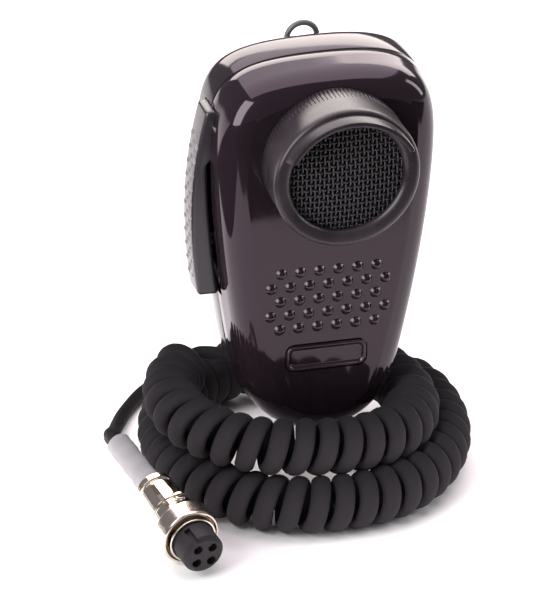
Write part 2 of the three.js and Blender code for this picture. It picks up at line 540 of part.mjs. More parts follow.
// The clamp end: a turned cap with a bead and a groove, split along its upper side.
function plugBlock(x0, x1, from, to, y0, y1, turn = 0) {
  const geometry = new THREE.BoxGeometry(x1 - x0, to - from, y1 - y0);
  geometry.translate((x0 + x1) / 2, (from + to) / 2, (y0 + y1) / 2);
  geometry.rotateY(THREE.MathUtils.degToRad(turn));
  return solid(geometry.applyMatrix4(plugBasis.clone().setPosition(plugRear)));
}
const clampCap = plugged([
  [0, 0], [PLUG.clampRadius - 1, 0], [PLUG.clampRadius - 0.2, 0.6], [PLUG.clampRadius - 0.2, 2.8],
  [PLUG.clampRadius - 0.9, 3.1], [PLUG.clampRadius - 0.9, 3.9], [PLUG.clampRadius, 4.3],
  [PLUG.clampRadius + 0.3, PLUG.clampLength], [0, PLUG.clampLength],
], 24);
const clampSlot = plugBlock(
  -0.8, 0.8, 5, PLUG.clampLength + 1, -FAR, -PLUG.clampRadius + 2.2, PLUG.slotTurn);
add(cordAndPlug, 'plug_clamp', cut(clampCap, clampSlot), NICKEL);

// The body: a solid rear end, a flare and a thin shell round the insert with a stop bead.
const SCREW_AT = RING_BACK - 2.6;
const body = plugged([
  [0, PLUG.clampLength + GAP], [PLUG.clampRadius + 0.3, PLUG.clampLength + GAP],
  [PLUG.bodyRadius, RING_BACK - 4], [SHELL_RADIUS, RING_BACK - 0.8], [SHELL_RADIUS, FACE - 3.2],
  [SHELL_RADIUS + 0.55, FACE - 3.2], [SHELL_RADIUS + 0.55, FACE - 2], [SHELL_RADIUS, FACE - 2],
  [SHELL_RADIUS, FACE + 1.4], [PLUG.insertRadius + GAP, FACE + 1.4], [PLUG.insertRadius + GAP, RING_BACK],
  [0, RING_BACK],
], 28);
const bodySlot = plugBlock(-0.8, 0.8, PLUG.clampLength + 1.2, PLUG.clampLength + 4.2,
  -FAR, -PLUG.bodyRadius + 1.6, PLUG.slotTurn);
const screwBore = rod(inPlug(0, SCREW_AT, -3.4), inPlug(0, SCREW_AT, -20), PLUG.screwRadius + GAP, 10);
add(cordAndPlug, 'plug_body', cut(body, bodySlot, screwBore), NICKEL);

const screwFrom = PLUG.bodyRadius + 0.6;
const plugScrew = join(
  rod(inPlug(0, SCREW_AT, -screwFrom), inPlug(0, SCREW_AT, -screwFrom - 1.3), PLUG.screwHead, 14),
  rod(inPlug(0, SCREW_AT, -4), inPlug(0, SCREW_AT, -screwFrom - 0.4), PLUG.screwRadius, 8));
const driverSlot = plugBlock(-3, 3, SCREW_AT - 0.3, SCREW_AT + 0.3, -screwFrom - 3, -screwFrom - 0.7);
add(cordAndPlug, 'plug_screw', cut(plugScrew, driverSlot), NICKEL);
add(cordAndPlug, 'coupling_ring', plugged([
  [SHELL_RADIUS + GAP, RING_BACK], [PLUG.ringRadius - 1, RING_BACK], [PLUG.ringRadius, RING_BACK + 1],
  [PLUG.ringRadius, FACE - 0.6], [PLUG.ringRadius - 0.5, FACE], [RING_BORE, FACE],
  [RING_BORE, RING_BACK + 2], [SHELL_RADIUS + GAP, RING_BACK + 2],
], 28), NICKEL);
const CONTACT_SPOTS = [0, 1, 2, 3].map((i) => {
  const angle = Math.PI / 4 + (i * Math.PI) / 2;
  return [PLUG.contactCircle * Math.cos(angle), PLUG.contactCircle * Math.sin(angle)];
});
add(cordAndPlug, 'plug_insert', cut(plugged([
  [0, RING_BACK + GAP], [PLUG.insertRadius, RING_BACK + GAP], [PLUG.insertRadius, NOSE - 1.2],
  [PLUG.insertRadius - 1.2, NOSE], [0, NOSE],
], 24), ...CONTACT_SPOTS.map(([x, y]) => rod(inPlug(x, RING_BACK + 2, y), inPlug(x, NOSE + 1, y),
  PLUG.contactRadius + GAP, 10))), SATIN_BLACK);
CONTACT_SPOTS.forEach(([x, y], i) => {
  add(cordAndPlug, `plug_contact_${i + 1}`, cut(
    rod(inPlug(x, RING_BACK + 2 + GAP, y), inPlug(x, NOSE - 2.2, y), PLUG.contactRadius, 10),
    rod(inPlug(x, NOSE - 7, y), inPlug(x, NOSE + 1, y), 0.75, 8)), BRASS);
});

// The origin is the centre of the handset's own box.
const centre = new THREE.Box3().setFromObject(handset).getCenter(new THREE.Vector3());
model.position.copy(centre).negate();

export default model;
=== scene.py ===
import json
import logging
import math
from dataclasses import dataclass, field
from enum import Enum
from typing import Sequence

import bmesh
import bpy
import numpy as np
from mathutils import Matrix, Vector

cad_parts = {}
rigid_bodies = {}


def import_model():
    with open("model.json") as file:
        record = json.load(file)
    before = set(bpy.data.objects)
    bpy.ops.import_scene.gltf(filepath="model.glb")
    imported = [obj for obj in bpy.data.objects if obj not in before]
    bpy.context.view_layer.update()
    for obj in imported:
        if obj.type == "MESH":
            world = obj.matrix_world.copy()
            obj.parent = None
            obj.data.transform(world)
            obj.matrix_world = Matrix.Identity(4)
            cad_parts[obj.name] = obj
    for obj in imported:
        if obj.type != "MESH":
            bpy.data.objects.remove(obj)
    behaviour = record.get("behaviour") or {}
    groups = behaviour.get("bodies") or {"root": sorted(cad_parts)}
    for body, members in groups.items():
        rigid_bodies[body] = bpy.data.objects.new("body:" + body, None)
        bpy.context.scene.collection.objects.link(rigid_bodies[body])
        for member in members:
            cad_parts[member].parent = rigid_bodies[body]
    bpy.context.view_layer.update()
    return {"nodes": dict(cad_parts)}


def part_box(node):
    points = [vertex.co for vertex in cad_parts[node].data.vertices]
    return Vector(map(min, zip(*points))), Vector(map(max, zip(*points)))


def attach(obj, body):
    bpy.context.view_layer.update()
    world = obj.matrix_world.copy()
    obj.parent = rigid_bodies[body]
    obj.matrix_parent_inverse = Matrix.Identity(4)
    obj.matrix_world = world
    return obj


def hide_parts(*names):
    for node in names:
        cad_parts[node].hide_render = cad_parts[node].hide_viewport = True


# Looks for a hand microphone with a talk lever, a curly cord and a screw-on plug.
# Sizes are in millimetres with Z = 0 at the case's lowest point and Y = 0 on the seam between its
# two shells; Bench.origin moves them into the row frame, which is in metres.

LOG = logging.getLogger("microphone")
MM = 0.001
FLOOR_Z = -16.0
GAP = 0.3


# ---------------------------------------------------------------------------------------------
# Surfaces
# ---------------------------------------------------------------------------------------------
@dataclass
class Patch:
    """A grid of four-sided faces.

    Attributes:
        points: Corner positions, one row each.
        faces: Four corner numbers for each face.
        lay: Pattern position of each face's four corners.
    """

    points: np.ndarray
    faces: np.ndarray
    lay: np.ndarray


def grid(points: np.ndarray, wrap_rows: bool = False, wrap_cols: bool = False) -> Patch:
    """Joins a grid of points into a patch: face (i, j) spans rows i, i + 1 and columns j, j + 1.

    Args:
        points: Positions shaped (rows, columns, 3).
        wrap_rows: Whether the last row joins the first.
        wrap_cols: Whether the last column joins the first.

    Returns:
        The patch, whose lay is (column share, row share).
    """
    rows, cols = points.shape[:2]
    row, col = np.meshgrid(
        np.arange(rows if wrap_rows else rows - 1),
        np.arange(cols if wrap_cols else cols - 1),
        indexing="ij",
    )
    below, beside = (row + 1) % rows, (col + 1) % cols
    corners = [row * cols + col, row * cols + beside, below * cols + beside, below * cols + col]
    faces = np.stack(corners, -1).reshape(-1, 4)
    spans = [(col, row), (col + 1, row), (col + 1, row + 1), (col, row + 1)]
    lay = np.stack([np.stack([c / cols, r / rows], -1) for c, r in spans], -2).reshape(-1, 4, 2)
    return Patch(points.reshape(-1, 3), faces, lay)


def cap(ring: np.ndarray) -> Patch:
    """Closes a ring of points with faces that meet at its middle."""
    middle = np.broadcast_to(ring.mean(0), ring.shape)
    return grid(np.stack([ring, middle]), wrap_cols=True)


def unit(vector: Sequence[float]) -> np.ndarray:
    """A vector scaled to length 1."""
    array = np.asarray(vector, float)
    return array / np.linalg.norm(array, axis=-1, keepdims=True)


def revolve(
    profile: Sequence[tuple[float, float]],
    origin: Sequence[float],
    axis: Sequence[float],
    sides: int = 64,
    closed: bool = False,
) -> Patch:
    """Turns a profile: point = origin + d * axis + r * (cos a * u + sin a * w), u and w square to axis.

    Args:
        profile: Pairs of radius r and distance d along the axis.
        origin: Where distance is 0.
        axis: Direction of the axis.
        sides: Columns round the turn.
        closed: Whether the profile's last pair joins its first.

    Returns:
        The turned patch.
    """
    along = unit(axis)
    helper = np.array([0.0, 0.0, 1.0]) if abs(along[2]) < 0.9 else np.array([1.0, 0.0, 0.0])
    u = unit(np.cross(helper, along))
    w = np.cross(along, u)
    radius, distance = np.asarray(profile, float).T
    turn = np.linspace(0, 2 * np.pi, sides, endpoint=False)
    out = np.cos(turn)[:, None] * u + np.sin(turn)[:, None] * w
    points = (
        np.asarray(origin, float)
        + distance[:, None, None] * along
        + radius[:, None, None] * out[None]
    )
    return grid(points, wrap_rows=closed, wrap_cols=True)


def softened(profile: Sequence[tuple[float, float]], radius: float, steps: int = 4) -> np.ndarray:
    """Rounds the corners of an open profile: each inner corner becomes a short quadratic curve.

    Args:
        profile: Corner pairs.
        radius: How far from a corner its curve begins, at most 45% of either side.
        steps: Points on each curve.

    Returns:
        The profile's pairs with the curves in place.
    """
    corners = np.asarray(profile, float)
    before, at, after = corners[:-2], corners[1:-1], corners[2:]
    length_in = np.linalg.norm(at - before, axis=1, keepdims=True)
    length_out = np.linalg.norm(after - at, axis=1, keepdims=True)
    reach = np.minimum(radius, 0.45 * np.minimum(length_in, length_out))
    start = at + (before - at) * reach / length_in
    end = at + (after - at) * reach / length_out
    t = np.linspace(0, 1, steps + 1)[None, :, None]
    curves = (1 - t) ** 2 * start[:, None] + 2 * t * (1 - t) * at[:, None] + t**2 * end[:, None]
    return np.concatenate([corners[:1], curves.reshape(-1, 2), corners[-1:]])


def bezier(controls: Sequence[Sequence[float]], count: int) -> np.ndarray:
    """Cubic curve through four controls, sampled at count even steps without the last point."""
    t = np.linspace(0, 1, count, endpoint=False)[:, None]
    a, b, c, d = (np.asarray(p, float) for p in controls)
    return (1 - t) ** 3 * a + 3 * t * (1 - t) ** 2 * b + 3 * t**2 * (1 - t) * c + t**3 * d


def inset(outline: np.ndarray, amount: np.ndarray) -> np.ndarray:
    """Moves a closed outline inwards along its own normals: one row for each amount."""
    along = unit(np.roll(outline, -1, 0) - np.roll(outline, 1, 0))
    inward = np.stack([-along[:, 1], along[:, 0]], -1)
    return outline[None] + np.asarray(amount, float)[:, None, None] * inward[None]


def stacked(outline: np.ndarray, profile: np.ndarray) -> np.ndarray:
    """Rows of an outline in X and Z, each moved inwards and placed at its own Y.

    Args:
        outline: Closed outline of (x, z) pairs that runs anticlockwise seen from -Y.
        profile: Pairs of inset and Y.

    Returns:
        Points shaped (rows, columns, 3).
    """
    flat = inset(outline, profile[:, 0])
    depth = np.broadcast_to(profile[:, 1][:, None], flat.shape[:2])
    return np.stack([flat[..., 0], depth, flat[..., 1]], -1)


def filled(ring: np.ndarray, centre: Sequence[float], shares: Sequence[float]) -> np.ndarray:
    """Rows that shrink a ring towards a centre by the given shares, to fill a flat face."""
    share = np.asarray(shares, float)[:, None, None]
    return ring[None] * (1 - share) + np.asarray(centre, float) * share


def smooth_route(points: np.ndarray, per_span: int = 24) -> np.ndarray:
    """Centripetal Catmull-Rom curve through points, the same one that the CAD tubes follow.

    Each span is a cubic whose end slopes weigh the neighbouring spans by the square root of length.

    Args:
        points: Route points, shaped (n, 3).
        per_span: Samples on each span.

    Returns:
        Points on the curve.
    """
    ends = np.concatenate([2 * points[:1] - points[1:2], points, 2 * points[-1:] - points[-2:-1]])
    p0, p1, p2, p3 = ends[:-3], ends[1:-2], ends[2:-1], ends[3:]
    spans = ((p0, p1), (p1, p2), (p2, p3))
    d0, d1, d2 = (np.linalg.norm(b - a, axis=1, keepdims=True) ** 0.5 for a, b in spans)
    m1 = ((p1 - p0) / d0 - (p2 - p0) / (d0 + d1) + (p2 - p1) / d1) * d1
    m2 = ((p2 - p1) / d1 - (p3 - p1) / (d1 + d2) + (p3 - p2) / d2) * d1
    t = np.linspace(0, 1, per_span, endpoint=False)[None, :, None]
    c2 = -3 * p1 + 3 * p2 - 2 * m1 - m2
    c3 = 2 * p1 - 2 * p2 + m1 + m2
    curve = p1[:, None] + m1[:, None] * t + c2[:, None] * t**2 + c3[:, None] * t**3
    return np.concatenate([curve.reshape(-1, 3), points[-1:]])


def respaced(route: np.ndarray, count: int) -> tuple[np.ndarray, float]:
    """A route's points spaced evenly by length, and its length."""
    steps = np.linalg.norm(np.diff(route, axis=0), axis=1)
    travelled = np.concatenate([[0], np.cumsum(steps)])
    wanted = np.linspace(0, travelled[-1], count)
    even = np.stack([np.interp(wanted, travelled, route[:, i]) for i in range(3)], -1)
    return even, float(travelled[-1])


def tube(path: np.ndarray, radius: np.ndarray, guide: np.ndarray, sides: int = 12) -> list[Patch]:
    """Carries an oval along a path: point = path + r * cos a * n + q * sin a * b, n nearest the guide.

    Args:
        path: Centre points.
        radius: Half sizes r along the guide and q across it, for each point.
        guide: A direction at each point that is never along the path.
        sides: Columns round the tube.

    Returns:
        The tube and its two end caps.
    """
    along = unit(np.gradient(path, axis=0))
    normal = unit(guide - (guide * along).sum(-1, keepdims=True) * along)
    other = np.cross(along, normal)
    turn = np.linspace(0, 2 * np.pi, sides, endpoint=False)
    half = np.asarray(radius, float)[:, :, None, None]
    points = (
        path[:, None]
        + half[:, 0] * np.cos(turn)[None, :, None] * normal[:, None]
        + half[:, 1] * np.sin(turn)[None, :, None] * other[:, None]
    )
    return [grid(points, wrap_cols=True), cap(points[0]), cap(points[-1])]


def block(low: Sequence[float], high: Sequence[float], basis: np.ndarray | None = None,
          origin: Sequence[float] = (0, 0, 0)) -> list[Patch]:
    """A box between two corners, turned by a basis of row vectors and moved to an origin."""
    x, y, z = np.stack([np.asarray(low, float), np.asarray(high, float)], -1)
    ring = np.array([[x[0], y[0]], [x[1], y[0]], [x[1], y[1]], [x[0], y[1]]])
    ends = [np.column_stack([ring, np.full(4, level)]) for level in z]
    if basis is not None:
        ends = [end @ basis for end in ends]
    ends = [end + np.asarray(origin, float) for end in ends]
    return [grid(np.stack(ends), wrap_cols=True), cap(ends[0]), cap(ends[1])]


def cylinder(start: Sequence[float], end: Sequence[float], radius: float, sides: int = 32) -> list[Patch]:
    """A plain cylinder between two points, used to cut holes."""
    length = float(np.linalg.norm(np.subtract(end, start)))
    profile = [(0, 0), (radius, 0), (radius, length), (0, length)]
    return [revolve(profile, start, np.subtract(end, start), sides)]


# ---------------------------------------------------------------------------------------------
# Finishes
# ---------------------------------------------------------------------------------------------
class Pattern(Enum):
    """How a finish's fine marks lie."""

    EVEN = "even"
    ALONG = "along"
    AROUND = "around"


def new_group(name: str, inputs: Sequence[tuple[str, str, float | None]],
              outputs: Sequence[tuple[str, str]]) -> bpy.types.ShaderNodeTree:
    """A shader node group with named sockets.

    Args:
        name: Name of the group.
        inputs: Name, socket type and starting value of each input.
        outputs: Name and socket type of each output.

    Returns:
        The group, with its input and output nodes in place.
    """
    tree = bpy.data.node_groups.new(name, "ShaderNodeTree")
    for label, kind, value in inputs:
        made = tree.interface.new_socket(label, in_out="INPUT", socket_type=kind)
        if value is not None:
            made.default_value = value
    for label, kind in outputs:
        tree.interface.new_socket(label, in_out="OUTPUT", socket_type=kind)
    tree.nodes.new("NodeGroupInput").name = "in"
    tree.nodes.new("NodeGroupOutput").name = "out"
    return tree


def grain_group() -> bpy.types.ShaderNodeTree:
    """Fine even grain: two sizes of noise added, as a height from 0 to 1."""
    found = bpy.data.node_groups.get("grain")
    if found:
        return found
    tree = new_group("grain", [("Vector", "NodeSocketVector", None), ("Scale", "NodeSocketFloat", 900.0),
                               ("Coarse Share", "NodeSocketFloat", 0.3)],
                     [("Height", "NodeSocketFloat")])
    link, start, end = tree.links.new, tree.nodes["in"], tree.nodes["out"]
    fine, coarse = tree.nodes.new("ShaderNodeTexNoise"), tree.nodes.new("ShaderNodeTexNoise")
    smaller, mix = tree.nodes.new("ShaderNodeMath"), tree.nodes.new("ShaderNodeMix")
    smaller.operation = "MULTIPLY"
    smaller.inputs[1].default_value = 0.22
    link(start.outputs["Scale"], smaller.inputs[0])
    link(start.outputs["Scale"], fine.inputs["Scale"])
    link(smaller.outputs[0], coarse.inputs["Scale"])
    for noise in (fine, coarse):
        link(start.outputs["Vector"], noise.inputs["Vector"])
        noise.inputs["Detail"].default_value = 2.0
    link(start.outputs["Coarse Share"], mix.inputs[0])
    link(fine.outputs[0], mix.inputs[2])
    link(coarse.outputs[0], mix.inputs[3])
    link(mix.outputs[0], end.inputs["Height"])
    return tree


def handling_group() -> bpy.types.ShaderNodeTree:
    """Marks of handling: broad cloudy smears and rare small specks, as masks from 0 to 1."""
    found = bpy.data.node_groups.get("handling")
    if found:
        return found
    tree = new_group("handling", [("Vector", "NodeSocketVector", None),
                                  ("Smear Scale", "NodeSocketFloat", 45.0),
                                  ("Speck Scale", "NodeSocketFloat", 700.0)],
                     [("Smear", "NodeSocketFloat"), ("Speck", "NodeSocketFloat")])
    link, start, end = tree.links.new, tree.nodes["in"], tree.nodes["out"]
    cloud, dust = tree.nodes.new("ShaderNodeTexNoise"), tree.nodes.new("ShaderNodeTexNoise")
    cloud.inputs["Detail"].default_value = 4.0
    cloud.inputs["Distortion"].default_value = 0.6
    spread, rare = tree.nodes.new("ShaderNodeMapRange"), tree.nodes.new("ShaderNodeMapRange")
    spread.inputs["From Min"].default_value = 0.38
    spread.inputs["From Max"].default_value = 0.66
    rare.inputs["From Min"].default_value = 0.70
    rare.inputs["From Max"].default_value = 0.78
    link(start.outputs["Smear Scale"], cloud.inputs["Scale"])
    link(start.outputs["Speck Scale"], dust.inputs["Scale"])
    for noise, ramp, label in ((cloud, spread, "Smear"), (dust, rare, "Speck")):
        link(start.outputs["Vector"], noise.inputs["Vector"])
        link(noise.outputs[0], ramp.inputs["Value"])
        link(ramp.outputs[0], end.inputs[label])
    return tree


def edge_group() -> bpy.types.ShaderNodeTree:
    """Worn edges: where the surface turns sharply outwards, broken up by noise, from 0 to 1."""
    found = bpy.data.node_groups.get("edges")
    if found:
        return found
    tree = new_group("edges", [("Vector", "NodeSocketVector", None), ("Start", "NodeSocketFloat", 0.53)],
                     [("Wear", "NodeSocketFloat")])
    link, start, end = tree.links.new, tree.nodes["in"], tree.nodes["out"]
    shape, noise = tree.nodes.new("ShaderNodeNewGeometry"), tree.nodes.new("ShaderNodeTexNoise")
    ramp, broken = tree.nodes.new("ShaderNodeMapRange"), tree.nodes.new("ShaderNodeMath")
    noise.inputs["Scale"].default_value = 260.0
    ramp.inputs["From Max"].default_value = 0.62
    broken.operation = "MULTIPLY"
    link(start.outputs["Vector"], noise.inputs["Vector"])
    link(start.outputs["Start"], ramp.inputs["From Min"])
    link(shape.outputs["Pointiness"], ramp.inputs["Value"])
    link(ramp.outputs[0], broken.inputs[0])
    link(noise.outputs[0], broken.inputs[1])
    link(broken.outputs[0], end.inputs["Wear"])
    return tree


def turning_group() -> bpy.types.ShaderNodeTree:
    """Fine lines of a lathe or a drawn wire: noise stretched far more one way than the other."""
    found = bpy.data.node_groups.get("turning")
    if found:
        return found
    tree = new_group("turning", [("Lay", "NodeSocketVector", None), ("Lines", "NodeSocketFloat", 60.0),
                                 ("Across", "NodeSocketFloat", 3.0)],
                     [("Height", "NodeSocketFloat")])
    link, start, end = tree.links.new, tree.nodes["in"], tree.nodes["out"]
    split, join = tree.nodes.new("ShaderNodeSeparateXYZ"), tree.nodes.new("ShaderNodeCombineXYZ")
    wide, long = tree.nodes.new("ShaderNodeMath"), tree.nodes.new("ShaderNodeMath")
    noise = tree.nodes.new("ShaderNodeTexNoise")
    noise.inputs["Scale"].default_value = 1.0
    noise.inputs["Detail"].default_value = 3.0
    wide.operation = long.operation = "MULTIPLY"
    link(start.outputs["Lay"], split.inputs[0])
    link(split.outputs[0], wide.inputs[0])
    link(start.outputs["Across"], wide.inputs[1])
    link(split.outputs[1], long.inputs[0])
    link(start.outputs["Lines"], long.inputs[1])
    link(wide.outputs[0], join.inputs[0])
    link(long.outputs[0], join.inputs[1])
    link(join.outputs[0], noise.inputs["Vector"])
    link(noise.outputs[0], end.inputs["Height"])
    return tree


@dataclass(frozen=True)
class Finish:
    """One surface finish.

    Attributes:
        name: Name of the material.
        color: Main colour.
        second: Colour that smears and handling bring.
        roughness: Lowest and highest roughness.
        metallic: 1 for bare metal, otherwise 0.
        grain: Grain frequency in cycles per metre.
        bump: Grain height in metres.
        pattern: How the fine marks lie.
        lines: Lines across one patch, for marks along or around it.
        wear: How much the edges turn to the second colour.
        coat: Clear coat weight.
        sheen: Sheen weight.
        clear: Transmission weight.
        cast: Colour of its reflections.
        specular: Specular level.
    """

    name: str
    color: tuple[float, float, float]
    second: tuple[float, float, float]
    roughness: tuple[float, float]
    metallic: float = 0.0
    grain: float = 1500.0
    bump: float = 0.00001
    pattern: Pattern = Pattern.EVEN
    lines: float = 60.0
    wear: float = 0.0
    coat: float = 0.0
    sheen: float = 0.0
    clear: float = 0.0
    specular: float = 0.5
    cast: tuple[float, float, float] = (1.0, 1.0, 1.0)

    def material(self) -> bpy.types.Material:
        """The finish's material, made the first time it is asked for."""
        found = bpy.data.materials.get(self.name)
        if found:
            return found
        made = bpy.data.materials.new(self.name)
        made.use_nodes = True
        made.diffuse_color = (*self.color, 1)
        nodes, link = made.node_tree.nodes, made.node_tree.links.new
        shader = nodes["Principled BSDF"]
        shader.inputs["Metallic"].default_value = self.metallic
        shader.inputs["Coat Weight"].default_value = self.coat
        shader.inputs["Coat Roughness"].default_value = 0.04
        shader.inputs["Sheen Weight"].default_value = self.sheen
        shader.inputs["Transmission Weight"].default_value = self.clear
        shader.inputs["Specular IOR Level"].default_value = self.specular
        shader.inputs["Specular Tint"].default_value = (*self.cast, 1)
        where = nodes.new("ShaderNodeTexCoord")
        marks = self._group(nodes, handling_group())
        link(where.outputs["Object"], marks.inputs["Vector"])
        height = self._height(nodes, link, where)
        tint = nodes.new("ShaderNodeMix")
        tint.data_type = "RGBA"
        tint.inputs["A"].default_value = (*self.color, 1)
        tint.inputs["B"].default_value = (*self.second, 1)
        amount = nodes.new("ShaderNodeMath")
        amount.operation = "MAXIMUM"
        half = nodes.new("ShaderNodeMath")
        half.operation = "MULTIPLY"
        half.inputs[1].default_value = 0.55
        link(marks.outputs["Smear"], half.inputs[0])
        link(half.outputs[0], amount.inputs[0])
        if self.wear > 0:
            edges = self._group(nodes, edge_group())
            scaled = nodes.new("ShaderNodeMath")
            scaled.operation = "MULTIPLY"
            scaled.inputs[1].default_value = self.wear
            link(where.outputs["Object"], edges.inputs["Vector"])
            link(edges.outputs["Wear"], scaled.inputs[0])
            link(scaled.outputs[0], amount.inputs[1])
        else:
            link(marks.outputs["Speck"], amount.inputs[1])
        link(amount.outputs[0], tint.inputs["Factor"])
        link(tint.outputs["Result"], shader.inputs["Base Color"])
        rough = nodes.new("ShaderNodeMapRange")
        rough.inputs["To Min"].default_value = self.roughness[0]
        rough.inputs["To Max"].default_value = self.roughness[1]
        link(marks.outputs["Smear"], rough.inputs["Value"])
        link(rough.outputs[0], shader.inputs["Roughness"])
        bump = nodes.new("ShaderNodeBump")
        bump.inputs["Strength"].default_value = 1.0
        bump.inputs["Distance"].default_value = self.bump
        link(height, bump.inputs["Height"])
        link(bump.outputs[0], shader.inputs["Normal"])
        return made

    def _group(self, nodes: bpy.types.Nodes, tree: bpy.types.ShaderNodeTree) -> bpy.types.Node:
        """Places a shared group in this finish's material."""
        placed = nodes.new("ShaderNodeGroup")
        placed.node_tree = tree
        return placed

    def _height(self, nodes: bpy.types.Nodes, link, where: bpy.types.Node) -> bpy.types.NodeSocket:
        """The finish's fine relief, even or drawn out one way."""
        if self.pattern is Pattern.EVEN:
            grain = self._group(nodes, grain_group())
            grain.inputs["Scale"].default_value = self.grain
            link(where.outputs["Object"], grain.inputs["Vector"])
            return grain.outputs["Height"]
        turning = self._group(nodes, turning_group())
        lay = nodes.new("ShaderNodeUVMap")
        lay.uv_map = "lay"
        link(lay.outputs[0], turning.inputs["Lay"])
        along = self.pattern is Pattern.ALONG
        turning.inputs["Lines"].default_value = 2.0 if along else self.lines
        turning.inputs["Across"].default_value = self.lines if along else 2.0
        return turning.outputs["Height"]


GLOSS_CASE = Finish("gloss_case", (0.0095, 0.0058, 0.0082), (0.013, 0.009, 0.012), (0.05, 0.12),
                    grain=420.0, bump=0.0000012, wear=0.25, specular=0.38, cast=(1.0, 0.84, 0.95))
GLOSS_BACK = Finish("gloss_back", (0.012, 0.009, 0.012), (0.017, 0.013, 0.016), (0.08, 0.17),
                    grain=420.0, bump=0.0000015, wear=0.25, specular=0.55, cast=(1.0, 0.92, 0.94))
BARREL_BLACK = Finish("barrel_black", (0.014, 0.0095, 0.0125), (0.03, 0.025, 0.028), (0.26, 0.36),
                      grain=900.0, bump=0.000003, wear=0.4, specular=0.32)
COLLAR_BLACK = Finish("collar_black", (0.01, 0.0075, 0.0095), (0.02, 0.017, 0.019), (0.3, 0.42),
                      grain=900.0, bump=0.000004, specular=0.3)
LEVER_BLACK = Finish("lever_black", (0.013, 0.009, 0.0115), (0.032, 0.027, 0.029), (0.12, 0.2),
                     grain=1200.0, bump=0.000004, wear=0.5, specular=0.28)
# Painted reflection: the studs are grey so the black lever's outer face shows the bright grazing reflection
# of the floor in its colour.
STUD_PAINTED_REFLECTION = Finish("stud_painted_reflection", (0.12, 0.112, 0.108), (0.2, 0.19, 0.185), (0.2, 0.35),
                   grain=1200.0, bump=0.000004, wear=0.5)
SATIN_BLACK = Finish("satin_black", (0.016, 0.012, 0.015), (0.028, 0.024, 0.026), (0.35, 0.5),
                     grain=1600.0, bump=0.000012)
GRILLE_BLACK = Finish("grille_black", (0.04, 0.032, 0.04), (0.11, 0.095, 0.105), (0.25, 0.4),
                      grain=2200.0, bump=0.00001, wear=0.4)
FOAM_BLACK = Finish("foam_black", (0.004, 0.004, 0.004), (0.008, 0.008, 0.008), (0.9, 1.0),
                    grain=1100.0, bump=0.0006, specular=0.1)
SOFT_RUBBER = Finish("soft_rubber", (0.014, 0.012, 0.014), (0.025, 0.022, 0.024), (0.4, 0.6),
                     grain=1500.0, bump=0.00001)
CORD_BLACK = Finish("cord_black", (0.0115, 0.0078, 0.0105), (0.018, 0.0135, 0.0165), (0.1, 0.17),
                    grain=700.0, bump=0.0000008, specular=0.5)
CLEAR_SLEEVE = Finish("clear_sleeve", (0.13, 0.108, 0.115), (0.36, 0.33, 0.34), (0.15, 0.4),
                      grain=500.0, bump=0.000004, clear=0.35)
NICKEL = Finish("nickel", (0.76, 0.68, 0.6), (0.62, 0.53, 0.44), (0.17, 0.3), metallic=1.0,
                pattern=Pattern.AROUND, lines=150.0, bump=0.000012)
NICKEL_RING = Finish("nickel_ring", (0.79, 0.715, 0.64), (0.62, 0.53, 0.44), (0.13, 0.25), metallic=1.0,
                     pattern=Pattern.AROUND, lines=210.0, bump=0.00001)
INSERT_BLACK = Finish("insert_black", (0.018, 0.0135, 0.0165), (0.035, 0.03, 0.033), (0.3, 0.45),
                      grain=1500.0, bump=0.000008, wear=0.5, specular=0.3)
STEEL = Finish("steel", (0.55, 0.54, 0.53), (0.42, 0.41, 0.4), (0.22, 0.36), metallic=1.0,
               grain=2000.0, bump=0.000004)
LOOP_METAL = Finish("loop_metal", (0.075, 0.075, 0.075), (0.2, 0.2, 0.2), (0.3, 0.45), metallic=0.7,
                    grain=1800.0, bump=0.00001, wear=0.5)
BRASS = Finish("brass", (0.78, 0.6, 0.28), (0.6, 0.43, 0.2), (0.2, 0.34), metallic=1.0,
               grain=2000.0, bump=0.000004)
CAPSULE_METAL = Finish("capsule_metal", (0.55, 0.55, 0.57), (0.4, 0.4, 0.42), (0.25, 0.4), metallic=1.0,
                       grain=1800.0, bump=0.000004)
BOARD_GREEN = Finish("board_green", (0.03, 0.12, 0.05), (0.05, 0.16, 0.08), (0.35, 0.5),
                     grain=1500.0, bump=0.000008)

CARRIED = {
    "grille_clamp_ring": SATIN_BLACK, "windscreen_foam": FOAM_BLACK, "capsule_holder": SOFT_RUBBER,
    "mic_capsule": CAPSULE_METAL, "ptt_pivot_pin": STEEL, "switch_plunger": SATIN_BLACK,
    "return_spring": STEEL, "switch_body": SATIN_BLACK, "circuit_board": BOARD_GREEN,
    "board_screw_1": STEEL, "board_screw_2": STEEL, "hanger_plate": STEEL, "cord_clamp": SATIN_BLACK,
    "plug_contact_1": BRASS, "plug_contact_2": BRASS, "plug_contact_3": BRASS, "plug_contact_4": BRASS,
}


